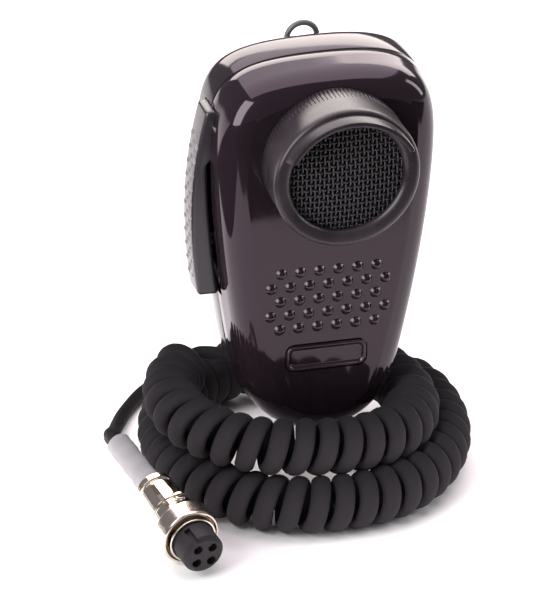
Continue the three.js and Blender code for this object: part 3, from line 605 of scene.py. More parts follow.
# ---------------------------------------------------------------------------------------------
# Bench
# ---------------------------------------------------------------------------------------------
@dataclass
class Bench:
    """Where pieces are put together and placed in the row frame.

    Attributes:
        origin: Row-frame position of the point that sizes are measured from, in metres.
        names: Names of the pieces made so far.
    """

    origin: np.ndarray
    names: list[str] = field(default_factory=list)

    def mesh(self, name: str, patches: Sequence[Patch], sharp: float = 32.0) -> bpy.types.Object:
        """Welds patches into one mesh object whose faces point outwards.

        Args:
            name: Name of the object.
            patches: Its surfaces, in millimetres.
            sharp: Angle past which an edge is left sharp, in degrees.

        Returns:
            The object, at the origin of the row frame.
        """
        starts = np.cumsum([0] + [len(p.points) for p in patches[:-1]])
        points = np.concatenate([p.points for p in patches]) * MM + self.origin
        faces = np.concatenate([p.faces + s for p, s in zip(patches, starts)])
        data = bpy.data.meshes.new(name)
        data.from_pydata(points.tolist(), [], faces.tolist())
        layer = data.uv_layers.new(name="lay")
        layer.data.foreach_set("uv", np.concatenate([p.lay for p in patches]).astype(np.float32).ravel())
        work = bmesh.new()
        work.from_mesh(data)
        bmesh.ops.remove_doubles(work, verts=work.verts, dist=2e-6)
        bmesh.ops.recalc_face_normals(work, faces=work.faces)
        work.to_mesh(data)
        work.free()
        data.shade_smooth()
        data.set_sharp_from_angle(angle=math.radians(sharp))
        made = bpy.data.objects.new(name, data)
        bpy.context.scene.collection.objects.link(made)
        return made

    def carve(self, piece: bpy.types.Object, cutters: Sequence[Patch], sharp: float = 32.0) -> None:
        """Cuts solids out of a piece and keeps the result as its mesh."""
        tool = self.mesh(piece.name + "_tool", cutters)
        change = piece.modifiers.new("cut", "BOOLEAN")
        change.solver = "MANIFOLD"
        change.operation = "DIFFERENCE"
        change.object = tool
        self.settle(piece)
        bpy.data.objects.remove(tool)
        piece.data.shade_smooth()
        piece.data.set_sharp_from_angle(angle=math.radians(sharp))

    def settle(self, piece: bpy.types.Object) -> None:
        """Turns a piece's modifiers into its mesh."""
        graph = bpy.context.evaluated_depsgraph_get()
        final = bpy.data.meshes.new_from_object(piece.evaluated_get(graph))
        piece.modifiers.clear()
        piece.data = final
        final.name = piece.name

    def thicken(self, piece: bpy.types.Object, wall: float) -> None:
        """Gives an open skin a wall of the given thickness on its inner side."""
        change = piece.modifiers.new("wall", "SOLIDIFY")
        change.thickness = wall * MM
        change.offset = -1.0
        self.settle(piece)

    def finish(self, piece: bpy.types.Object, body: str, slot: str, finish: Finish,
               stands_for: Sequence[str] = ()) -> bpy.types.Object:
        """Dresses a piece and ties it to its CAD body.

        Args:
            piece: The finished object.
            body: CAD body it moves with.
            slot: The record's material slot; not used.
            finish: Its finish.
            stands_for: CAD nodes it replaces.

        Returns:
            The same object.
        """
        piece.data.materials.clear()
        piece.data.materials.append(finish.material())
        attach(piece, body)
        if stands_for:
            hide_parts(*stands_for)
        self.names.append(piece.name)
        LOG.info("%s: %d faces on %s", piece.name, len(piece.data.polygons), body)
        return piece


# ---------------------------------------------------------------------------------------------
# Cord
# ---------------------------------------------------------------------------------------------
def lay(u: float, w: float, z: float) -> np.ndarray:
    """A place in the coil's own layout: u right, w back, z up, turned 17.5 degrees under the case."""
    turn = math.radians(17.5)
    return np.array([u * math.cos(turn) + w * math.sin(turn), w * math.cos(turn) - u * math.sin(turn), z])


@dataclass
class PlugPlace:
    """Where the plug lies and which way it points."""

    axis: np.ndarray = field(default_factory=lambda: unit(lay(0.45, -0.882, -0.14)))
    length: float = 27.0
    ring_radius: float = 9.5

    @property
    def rear(self) -> np.ndarray:
        """The middle of the plug's rear end."""
        return lay(-33.6, -70.5, FLOOR_Z + self.ring_radius + 0.2) - self.length * self.axis

    def at(self, distance: float) -> np.ndarray:
        """A point on the plug's axis."""
        return self.rear + distance * self.axis

    @property
    def basis(self) -> np.ndarray:
        """Rows: across the plug, along it, and down from its axis."""
        across = unit(np.cross([0.0, 0.0, 1.0], self.axis))
        return np.stack([across, self.axis, np.cross(across, self.axis)])

    def inside(self, x: float, distance: float, y: float) -> np.ndarray:
        """A point given across the plug, along it and below its axis."""
        return np.array([x, distance, y]) @ self.basis + self.rear


@dataclass
class CurlyCord:
    """The cord: a plain lead, a helix wound along two stacked loops, and a plain tail to the plug."""

    bench: Bench
    plug: PlugPlace
    straight: float = 2.1
    radial: float = 2.25
    across: float = 3.05
    coil: float = 17.6
    pitch: float = 7.0
    per_turn: int = 30
    sides: int = 16
    hand: float = -1.0
    exit: tuple[float, float, float] = (-16.3, 20.9, 12.0)

    def coil_route(self) -> np.ndarray:
        """The helix's own middle line: once and a half round above, then once round on the floor."""
        rest = FLOOR_Z + self.coil / 2 + 0.1
        stations = [
            (-36, 9, 11.5), (-40.5, -2, 11.5), (-41, -14, 11.2), (-36.5, -26, 10.8), (-27, -35, 10.2),
            (-14, -39.5, 9.6), (0, -38.5, 9), (13, -34, 8), (24.5, -25, 7), (30.5, -12.5, 5.6),
            (31, 1.5, 5), (26, 15, 4.8), (17, 27, 3.4), (5, 37, 0), (-9, 42, -3.6), (-23, 39, rest + 0.6),
            (-34.5, 29, rest), (-41, 14, rest), (-42.4, -2, rest), (-39, -18, rest), (-31, -32, rest),
            (-18, -42, rest), (-2, -45.5, rest), (14, -42, rest), (28, -33, rest), (37, -19, rest),
            (41, -3, rest), (40, 14, rest), (34.5, 29, rest), (26, 39, rest),
        ]
        return smooth_route(np.array([lay(*s) for s in stations]), 40)

    def centreline(self) -> tuple[np.ndarray, np.ndarray, np.ndarray]:
        """The wire's middle line and a guide direction beside it.

        The helix is route + R(s) * (cos f * up + sin f * side), where f grows by a full turn for each
        pitch and R(s) grows from 0 and returns to 0 over the first and last turn.

        Returns:
            Points in millimetres, one guide direction for each, and how far each has joined the coil.
        """
        route = self.coil_route()
        _, length = respaced(route, 2)
        turns = round(length / self.pitch)
        middle, _ = respaced(route, turns * self.per_turn + 1)
        along = unit(np.gradient(middle, axis=0))
        side = unit(np.cross(along, [0.0, 0.0, 1.0]))
        up = np.cross(side, along)
        share = np.linspace(0, 1, len(middle))
        ramp = np.clip(np.minimum(share, 1 - share) * turns / 0.9, 0, 1)
        joined = ramp**2 * (3 - 2 * ramp)
        radius = (self.coil / 2 - self.radial) * joined
        phase = self.hand * 2 * np.pi * turns * share[:, None]
        out = np.cos(phase) * up + np.sin(phase) * side
        helix = middle + radius[:, None] * out
        first, last = unit(middle[1] - middle[0]), unit(middle[-1] - middle[-2])
        ground = FLOOR_Z + self.straight + 0.1
        start = np.array(self.exit)
        lead_in = [start + [1.5, 0, 0], start, start + [-3.7, 0, 0], middle[0] - 6 * first, middle[0]]
        tail_out = [
            middle[-1], middle[-1] + 5 * last, lay(10, 55, ground + 2), lay(-6, 59, ground),
            lay(-22, 57.5, ground), lay(-37, 50, ground), lay(-48.5, 38, ground), lay(-55, 23, ground),
            lay(-58, 7, ground + 2), lay(-59, -8, ground + 7), self.plug.at(-29), self.plug.at(-24),
            self.plug.at(-12), self.plug.at(0.4),
        ]
        lead, _ = respaced(smooth_route(np.array(lead_in)), 40)
        tail, _ = respaced(smooth_route(np.array(tail_out)), 150)
        path = np.concatenate([lead[:-1], helix, tail[1:]])
        upright = np.array([0.0, 0.0, 1.0])
        guide = np.concatenate([
            np.broadcast_to(upright, lead[:-1].shape), out, np.broadcast_to(upright, tail[1:].shape)])
        coiled = np.concatenate([np.zeros(len(lead) - 1), joined, np.zeros(len(tail) - 1)])
        return path, guide, coiled

    def build(self) -> bpy.types.Object:
        """The cord as one tube; the caller hands it, its sleeve and the plug to the studio for their own
        lights.
        """
        path, guide, coiled = self.centreline()
        share = coiled[:, None]
        radius = self.straight + share * np.array([self.radial, self.across]) - share * self.straight
        piece = self.bench.mesh("curly_cord", tube(path, radius, guide, self.sides), sharp=60.0)
        self.bench.finish(piece, "root", "cord_black", CORD_BLACK, ("cord_lead", "cord_coil", "cord_tail"))
        self.path = path * MM + self.bench.origin
        _, length = respaced(path, 2)
        LOG.info("cord length %.0f mm", length)
        return piece


@dataclass
class Sleeve:
    """The milky clear sleeve over the cord behind the plug."""

    bench: Bench
    plug: PlugPlace
    length: float = 24.0
    inner: float = 2.75
    outer: float = 3.75

    def build(self) -> bpy.types.Object:
        """A thin tube, slightly waved, with a rolled rear edge."""
        distance = np.linspace(-self.length, -0.2, 40)
        wave = 0.1 * np.sin(distance * 0.9) + 0.05 * np.sin(distance * 2.3)
        outside = np.column_stack([self.outer + wave, distance])
        inside = np.column_stack([self.inner + 0 * distance, distance])[::-1]
        profile = np.concatenate([[[self.inner + 0.4, -self.length - 0.35]], outside, inside])
        patch = revolve(profile, self.plug.rear, self.plug.axis, 40, closed=True)
        piece = self.bench.mesh("cord_sleeve_clear", [patch], sharp=50.0)
        return self.bench.finish(piece, "root", "clear_sleeve", CLEAR_SLEEVE, ("cord_sleeve",))


# ---------------------------------------------------------------------------------------------
# Case
# ---------------------------------------------------------------------------------------------
@dataclass
class Case:
    """The two moulded shells with the grip dots and the plain badge."""

    bench: Bench
    height: float = 124.0
    top_half: float = 35.0
    top_half_at: float = 97.0
    bottom_half: float = 24.5
    bottom_half_at: float = 19.0
    front: float = 17.0
    rear: float = 16.0
    wall: float = 2.2
    screw_places: tuple[tuple[float, float], ...] = ((-25, 107.5), (25, 107.5), (-15, 18.5), (15, 18.5))

    def outline(self, count: int = 44) -> np.ndarray:
        """The case's outline, anticlockwise from its lowest point: six cubic curves."""
        h, t, ta, b, ba = self.height, self.top_half, self.top_half_at, self.bottom_half, self.bottom_half_at
        rise = h - ta
        right = [
            [(0, 0), (0.49 * b, 0), (0.86 * b, 0.37 * ba), (b, ba)],
            [(b, ba), (b + 4, ba + 16), (t, ta - 25), (t, ta)],
            [(t, ta), (t, ta + 0.8 * rise), (0.8 * t, h), (0, h)],
        ]
        left = [[(-x, z) for x, z in reversed(curve)] for curve in reversed(right)]
        return np.concatenate([bezier(curve, count) for curve in right + left])

    def lever_window(self) -> list[Patch]:
        """The opening in both shells for the lever's pivot end and the pocket below it."""
        return [*block((-80, -4.0, 46.0), (-28.5, 6.2, 109.3))]

    def build_front(self) -> None:
        """The front shell: a slightly drafted side, a broad rounding and a flat face with a crisp edge."""
        rounding = bezier([(0.75, -7.5), (1.2, -12.8), (3.2, -15.6), (7.6, -self.front + 0.3)], 20)
        profile = np.concatenate([
            [(0.6, 0.0), (0.17, -0.14), (0.0, -0.5), (0.3, -3.5)],
            rounding,
            [(7.9, -self.front + 0.2), (8.3, -self.front + 0.05), (8.8, -self.front), (9.6, -self.front)],
        ])
        skin = stacked(self.outline(), profile)
        face = filled(skin[-1], (0, -self.front, 62), (0, 0.25, 0.5, 0.8, 1))
        shell = self.bench.mesh("case_front", [grid(skin, wrap_cols=True), grid(face, wrap_cols=True)])
        self.bench.thicken(shell, self.wall)
        pocket = self.bar_outline(13.0, 4.75, 28.8, 2.9)
        rows = stacked(pocket, np.array([(0, -30.0), (0, -self.front + 0.7)]))
        self.bench.carve(shell, [
            *cylinder((0, -60, 97), (0, -3, 97), 22.5, 96),
            *self.lever_window(),
            grid(rows, wrap_cols=True), cap(rows[0]), cap(rows[-1]),
        ])
        self.bench.finish(shell, "root", "gloss_black", GLOSS_CASE, ("front_shell",))

    def build_rear(self) -> None:
        """The rear cover: straight sides, a rounded back edge and a flat back with screw holes."""
        back = self.rear
        rounding = bezier([(0.25, back - 6), (0.4, back - 2.4), (2.4, back), (6.2, back)], 14)
        profile = np.concatenate([
            [(0.55, 0.35), (0.15, 0.5), (0.0, 0.9)],
            rounding,
            [(6.2, self.rear), (6.6, self.rear), (8.0, self.rear)],
        ])
        skin = stacked(self.outline(), profile)[:, ::-1]
        back = filled(skin[-1], (0, self.rear, 62), (0, 0.3, 0.7, 1))
        cover = self.bench.mesh("case_rear", [grid(skin, wrap_cols=True), grid(back, wrap_cols=True)])
        self.bench.thicken(cover, self.wall)
        holes = [patch for x, z in self.screw_places
                 for patch in cylinder((x, self.rear - 4, z), (x, self.rear + 6, z), 3.0)]
        self.bench.carve(cover, [*self.lever_window(), *holes,
                                 *cylinder((2, 4, 12), (2, 40, 12), 4.1)])
        self.bench.finish(cover, "root", "case_black", GLOSS_BACK, ("rear_cover",))

    def bar_outline(self, half_width: float, half_height: float, z: float, corner: float) -> np.ndarray:
        """A bar with rounded corners, anticlockwise: four quarter circles joined by straight sides."""
        turn = np.linspace(0, np.pi / 2, 12)
        w, h = half_width - corner, half_height - corner
        spots = [(w, -h, -np.pi / 2), (w, h, 0), (-w, h, np.pi / 2), (-w, -h, np.pi)]
        return np.concatenate([
            np.column_stack([x + corner * np.cos(turn + a), z + y + corner * np.sin(turn + a)])
            for x, y, a in spots])

    def build_badge(self) -> None:
        """A plain plate with a raised border and an empty sunk middle."""
        seat = -self.front + 0.75
        profile = np.array([
            (0.0, seat), (0.0, seat - 0.95), (0.12, seat - 1.2), (0.4, seat - 1.32), (0.8, seat - 1.25),
            (1.05, seat - 0.8), (1.35, seat - 0.62), (1.8, seat - 0.62)])
        rows = stacked(self.bar_outline(12.5, 4.2, 28.8, 2.6), profile)
        middle = filled(rows[-1], (0, seat - 0.62, 28.8), (0, 0.5, 1))
        piece = self.bench.mesh("badge_blank", [grid(rows, wrap_cols=True), grid(middle, wrap_cols=True),
                                                cap(rows[0])], sharp=50.0)
        self.bench.finish(piece, "root", "gloss_black", GLOSS_CASE, ("badge_plate",))

    def build_dots(self) -> None:
        """Grip dots: each a low dome r = R sin a, height = H cos a, with a small fillet at its foot."""
        radius, rise, pitch, row_pitch, middle = 1.75, 1.15, 6.0, 4.75, 48.6
        profile = [(0, rise), (0.35 * radius, 0.95 * rise), (0.62 * radius, 0.76 * rise),
                   (0.82 * radius, 0.44 * rise), (0.94 * radius, 0.14 * rise), (1.12 * radius, -0.1)]
        patches = []
        for row, count in enumerate((6, 7, 6, 7, 6)):
            for i in range(count):
                spot = ((i - (count - 1) / 2) * pitch, -self.front, middle + (2 - row) * row_pitch)
                dome = revolve(profile, spot, (0, -1, 0), 18)
                foot = cap(dome.points.reshape(len(profile), 18, 3)[-1])
                patches += [dome, foot]
        piece = self.bench.mesh("grip_dots", patches, sharp=60.0)
        self.bench.finish(piece, "root", "gloss_black", GLOSS_CASE)

    def build_screws(self) -> None:
        """Recessed round heads with a cross slot, in the back."""
        for number, (x, z) in enumerate(self.screw_places, 1):
            top = self.rear - 0.3
            head = revolve(softened([(0, top), (2.0, top - 0.05), (2.7, top - 0.9), (2.7, top - 1.9),
                                     (0, top - 1.9)], 0.5), (x, 0, z), (0, 1, 0), 32)
            piece = self.bench.mesh(f"case_screw_head_{number}", [head])
            self.bench.carve(piece, [*block((x - 1.7, top - 0.9, z - 0.3), (x + 1.7, top + 1, z + 0.3))])
            self.bench.carve(piece, [*block((x - 0.3, top - 0.9, z - 1.7), (x + 0.3, top + 1, z + 1.7))])
            self.bench.finish(piece, "root", "steel", STEEL, (f"case_screw_{number}",))

    def build(self) -> None:
        """Makes the shells and what sits in them."""
        self.build_front()
        self.build_rear()
        self.build_dots()
        self.build_badge()
        self.build_screws()


# ---------------------------------------------------------------------------------------------
# Mouthpiece
# ---------------------------------------------------------------------------------------------
@dataclass
class Mouthpiece:
    """The round barrel with its hood, and the woven wire grille."""

    bench: Bench
    z: float = 97.0
    rim: float = 33.0
    radius: float = 22.2
    rim_radius: float = 23.0
    bore: float = 19.3
    lip: float = 17.8
    mesh_front: float = 30.0
    mesh_rise: float = 1.2
    hood_reach: float = 5.0
    rib_count: int = 108
    rib_radius: float = 22.35
    rib_height: float = 0.34
    sides: int = 128

    def build_barrel(self) -> None:
        """A turned ring, a ribbed collar at its root, and a hood that falls to nothing at its ends."""
        ring = softened([
            (self.bore, 9), (self.radius, 9), (self.radius + 0.1, 17), (self.rim_radius, self.rim - 2.2),
            (self.rim_radius - 0.15, self.rim - 0.7), (self.rim_radius - 1.3, self.rim),
            (self.lip + 1.3, self.rim - 0.15), (self.lip + 0.1, self.rim - 1.2),
            (self.lip, self.mesh_front + 0.5), (self.bore, self.mesh_front + 0.2), (self.bore, 9.01),
        ], 0.6, 3)
        barrel = revolve(ring, (0, 0, self.z), (0, -1, 0), self.sides, closed=True)
        around = np.linspace(0, 2 * np.pi, 4 * self.rib_count, endpoint=False)
        ribs = self.rib_radius + self.rib_height * np.clip(1.6 * np.cos(self.rib_count * around), -1, 1)
        radii = np.stack([0 * ribs + 21.0, ribs - 0.5, ribs, ribs, 0 * ribs + 22.0, 0 * ribs + 21.0])
        depths = np.array([16.0, 16.0, 16.4, 22.2, 22.8, 22.8])[:, None] + 0 * ribs
        collar = np.stack([radii * np.cos(around), -depths, self.z + radii * np.sin(around)], -1)
        grip = self.bench.mesh("barrel_collar", [grid(collar, wrap_rows=True, wrap_cols=True)], sharp=50.0)
        self.bench.finish(grip, "root", "gloss_black", COLLAR_BLACK)
        turn = np.linspace(0, 2 * np.pi, self.sides, endpoint=False)
        height = np.sin(turn)
        ease = np.clip((height - 0.36) / 0.1, 0, 1)
        ease = ease**2 * (3 - 2 * ease)
        reach = self.hood_reach * ease - 0.8 * (1 - ease)
        outer, inner = self.rim_radius - 1.2, self.rim_radius - 3.1
        radii = np.array([inner, inner, inner + 0.25, inner + 0.8, outer - 0.55, outer - 0.12, outer, outer])
        shares = np.array([0, 1, 1, 1, 1, 1, 1, 0])
        drops = np.array([0, 0.6, 0.15, 0, 0, 0.2, 0.75, 0])
        depth = self.rim - 1.0 + shares[:, None] * (reach + 1.0)[None] - drops[:, None] * ease[None]
        hood = np.stack([
            radii[:, None] * np.cos(turn), -depth, self.z + radii[:, None] * np.sin(turn)], -1)
        piece = self.bench.mesh("barrel", [barrel, grid(hood, wrap_rows=True, wrap_cols=True)], sharp=40.0)
        self.bench.finish(piece, "root", "gloss_black", BARREL_BLACK, ("mouthpiece_barrel",))

    def build_grille(self) -> None:
        """Woven cloth: wires at y = dome - a * sin(pi * s / pitch), over and under each other."""
        wire, wave = 0.34, 0.3
        limit = self.bore - 0.4
        patches: list[Patch] = []
        for across, pitch, other in ((True, 1.95, 1.36), (False, 1.36, 1.95)):
            count = int(limit / pitch)
            for number in range(-count, count + 1):
                spot = number * pitch
                half = math.sqrt(limit**2 - spot**2)
                s = np.linspace(-half, half, 190)
                sign = (1 if number % 2 else -1) * (1 if across else -1)
                dome = self.mesh_front - 0.3 + self.mesh_rise * (1 - (s**2 + spot**2) / limit**2)
                y = -(dome + sign * wave * np.cos(np.pi * s / other))
                flat = (s, np.full_like(s, spot)) if across else (np.full_like(s, spot), s)
                path = np.stack([flat[0], y, self.z + flat[1]], -1)
                guide = np.broadcast_to([0.0, 1.0, 0.0], path.shape)
                patches += tube(path, np.full((len(s), 2), wire), guide, 7)
        piece = self.bench.mesh("grille_cloth", patches, sharp=70.0)
        self.bench.finish(piece, "root", "grille_black", GRILLE_BLACK, ("grille_mesh",))

    def build(self) -> None:
        """Makes the barrel and its grille."""
        self.build_barrel()
        self.build_grille()


# ---------------------------------------------------------------------------------------------
# Talk lever
# ---------------------------------------------------------------------------------------------
@dataclass
class TalkLever:
    """The side lever: a long bowed bar with a studded outer face, close beside the case."""

    bench: Bench
    outline: np.ndarray
    top: tuple[float, float] = (-36.25, 109.0)
    bend: tuple[float, float] = (-43.0, 79.75)
    foot: tuple[float, float] = (-36.85, 46.5)
    gap: float = 0.5
    neck: tuple[float, float] = (-29.3, 91.0)
    width: float = 9.6
    middle_y: float = 1.1
    edge: float = 0.9

    def outer(self, z: np.ndarray) -> np.ndarray:
        """X of the outer face at heights z, on a quadratic curve from top to foot."""
        t = np.linspace(0, 1, 400)[:, None]
        a, b, c = (np.array(p) for p in (self.top, self.bend, self.foot))
        curve = (1 - t) ** 2 * a + 2 * t * (1 - t) * b + t**2 * c
        return np.interp(z, curve[::-1, 1], curve[::-1, 0])

    def inner(self, z: np.ndarray) -> np.ndarray:
        """X of the inner face: beside the case below the neck, then in to the pivot above it."""
        left = self.outline[(self.outline[:, 0] < 0) & (self.outline[:, 1] > 25) & (self.outline[:, 1] < 118)]
        left = left[np.argsort(left[:, 1])]
        beside = np.interp(z, left[:, 1], left[:, 0]) - self.gap
        share = np.clip((z - self.neck[1]) / 6.0, 0, 1)
        return beside * (1 - share) + self.neck[0] * share

    def build_bar(self) -> None:
        """Rounded rectangles between the two faces, shrinking by r (1 - sin a) at both ends."""
        turn = np.linspace(0, np.pi / 2, 6)
        low = self.foot[1] + self.edge * (1 - np.cos(turn))
        high = self.top[1] - self.edge * (1 - np.cos(turn))
        levels = np.concatenate([low, np.linspace(low[-1], high[-1], 60)[1:-1], high[::-1]])
        ends = self.edge * (1 - np.sin(turn))
        shrink = np.concatenate([ends, np.zeros(58), ends[::-1]])
        left, right = self.outer(levels) + shrink, self.inner(levels) - shrink
        front = self.middle_y - self.width / 2 + shrink
        back = self.middle_y + self.width / 2 - shrink
        corner = np.maximum(self.edge + 0.3 - shrink, 0.12)
        columns = []
        for x, side, y, face, start in ((right, -1, front, 1, -np.pi / 2), (right, -1, back, -1, 0),
                                        (left, 1, back, -1, np.pi / 2), (left, 1, front, 1, np.pi)):
            angle = turn + start
            columns.append(np.stack([
                (x + side * corner)[:, None] + corner[:, None] * np.cos(angle),
                (y + face * corner)[:, None] + corner[:, None] * np.sin(angle),
                np.broadcast_to(levels[:, None], (len(levels), len(angle)))], -1))
        points = np.concatenate(columns, 1)
        bar = self.bench.mesh("lever_bar", [grid(points, wrap_cols=True), cap(points[0]), cap(points[-1])])
        self.bench.finish(bar, "talk_lever", "lever_black", LEVER_BLACK, ("ptt_lever",))

    def build_studs(self) -> None:
        """Low eight-sided studs in staggered rows that follow the outer face; their grey colour is a painted
        reflection, the bright grazing reflection on the black lever's outer face.
        """
        pitch, radius, rise = 2.35, 1.15, 0.45
        heights = np.arange(99.0, 50.5, -pitch)
        patches = []
        for number, z in enumerate(heights):
            x, ahead = self.outer(np.array([z, z - 1.0]))
            normal = unit((-1.0, 0.0, -(ahead - x)))
            for y in ((-3.0, 1.0) if number % 2 else (-1.0, 3.0)):
                spot = np.array([x, self.middle_y + y, z]) - normal * 0.1
                profile = softened([(0, rise), (0.35 * radius, rise), (radius, 0), (radius, -0.1)], 0.25, 2)
                stud = revolve(profile, spot, normal, 8)
                patches += [stud, cap(stud.points.reshape(len(profile), 8, 3)[-1])]
        piece = self.bench.mesh("lever_studs", patches, sharp=25.0)
        self.bench.finish(piece, "talk_lever", "lever_black", STUD_PAINTED_REFLECTION)

    def build(self) -> None:
        """Makes the lever and its studs."""
        self.build_bar()
        self.build_studs()


# ---------------------------------------------------------------------------------------------
# Back fittings
# ---------------------------------------------------------------------------------------------
@dataclass
class BackFittings:
    """The hanging loop, its screw, and the cord's strain relief."""

    bench: Bench
    loop_radius: float = 4.7
    loop_wire: float = 0.9
    loop_y: float = 18.7
    loop_z: float = 119.4
    screw_z: float = 103.5
    relief_x: float = 2.0
    relief_y: float = 20.9
    relief_z: float = 12.0

    def build_loop(self) -> None:
        """A ring of round wire: a circle of wire radius turned round the loop's middle."""
        turn = np.linspace(0, 2 * np.pi, 16, endpoint=False)
        profile = np.column_stack([
            self.loop_radius + self.loop_wire * np.cos(turn), self.loop_wire * np.sin(turn)])
        ring = revolve(profile, (0, self.loop_y, self.loop_z), (0, 1, 0), 72, closed=True)
        piece = self.bench.mesh("hanging_loop", [ring], sharp=70.0)
        self.bench.finish(piece, "loop", "loop_metal", LOOP_METAL, ("hang_loop",))

    def build_screw(self) -> None:
        """A domed head with one slot, on the hanger plate."""
        base = 17.8
        profile = softened([(0, base + 1.5), (1.7, base + 1.35), (2.6, base + 0.5), (2.6, base),
                            (1.3, base), (1.3, 12), (0, 12)], 0.5)
        piece = self.bench.mesh("hanger_screw_head",
                                [revolve(profile, (0, 0, self.screw_z), (0, 1, 0), 32)])
        z, half = self.screw_z, 0.35
        self.bench.carve(piece, block((-3, base + 0.8, z - half), (3, base + 3, z + half)))
        self.bench.finish(piece, "root", "steel", STEEL, ("hanger_screw",))

    def build_relief(self) -> None:
        """A right-angled boot: a neck through the back and a ribbed taper towards the lever's side."""
        distance = np.linspace(-4.6, 18, 90)
        body = np.interp(distance, [-4.6, -4.1, -3.2, 4, 18], [2.6, 3.9, 4.55, 4.55, 3.25])
        rib = 0.32 * (np.sin(distance * 2 * np.pi / 2.6) > 0.1) * (distance > 5) * (distance < 17)
        profile = np.column_stack([body - rib, distance])
        profile = np.concatenate([[(0, -4.6)], profile, [(2.6, 18.0), (2.6, 14.0), (0, 14.0)]])
        start = (self.relief_x, self.relief_y, self.relief_z)
        boot = revolve(profile, start, (-1, 0, 0), 40)
        neck_profile = softened([(0, 5), (3.75, 5), (3.75, 15.8), (4.5, 16.4), (4.3, self.relief_y),
                                 (0, self.relief_y)],
                                0.5)
        neck = revolve(neck_profile, (self.relief_x, 0, self.relief_z), (0, 1, 0), 40)
        piece = self.bench.mesh("cord_boot", [boot, neck], sharp=35.0)
        self.bench.finish(piece, "root", "soft_rubber", SOFT_RUBBER, ("strain_relief",))

    def build(self) -> None:
        """Makes the fittings on the back."""
        self.build_loop()
        self.build_screw()
        self.build_relief()


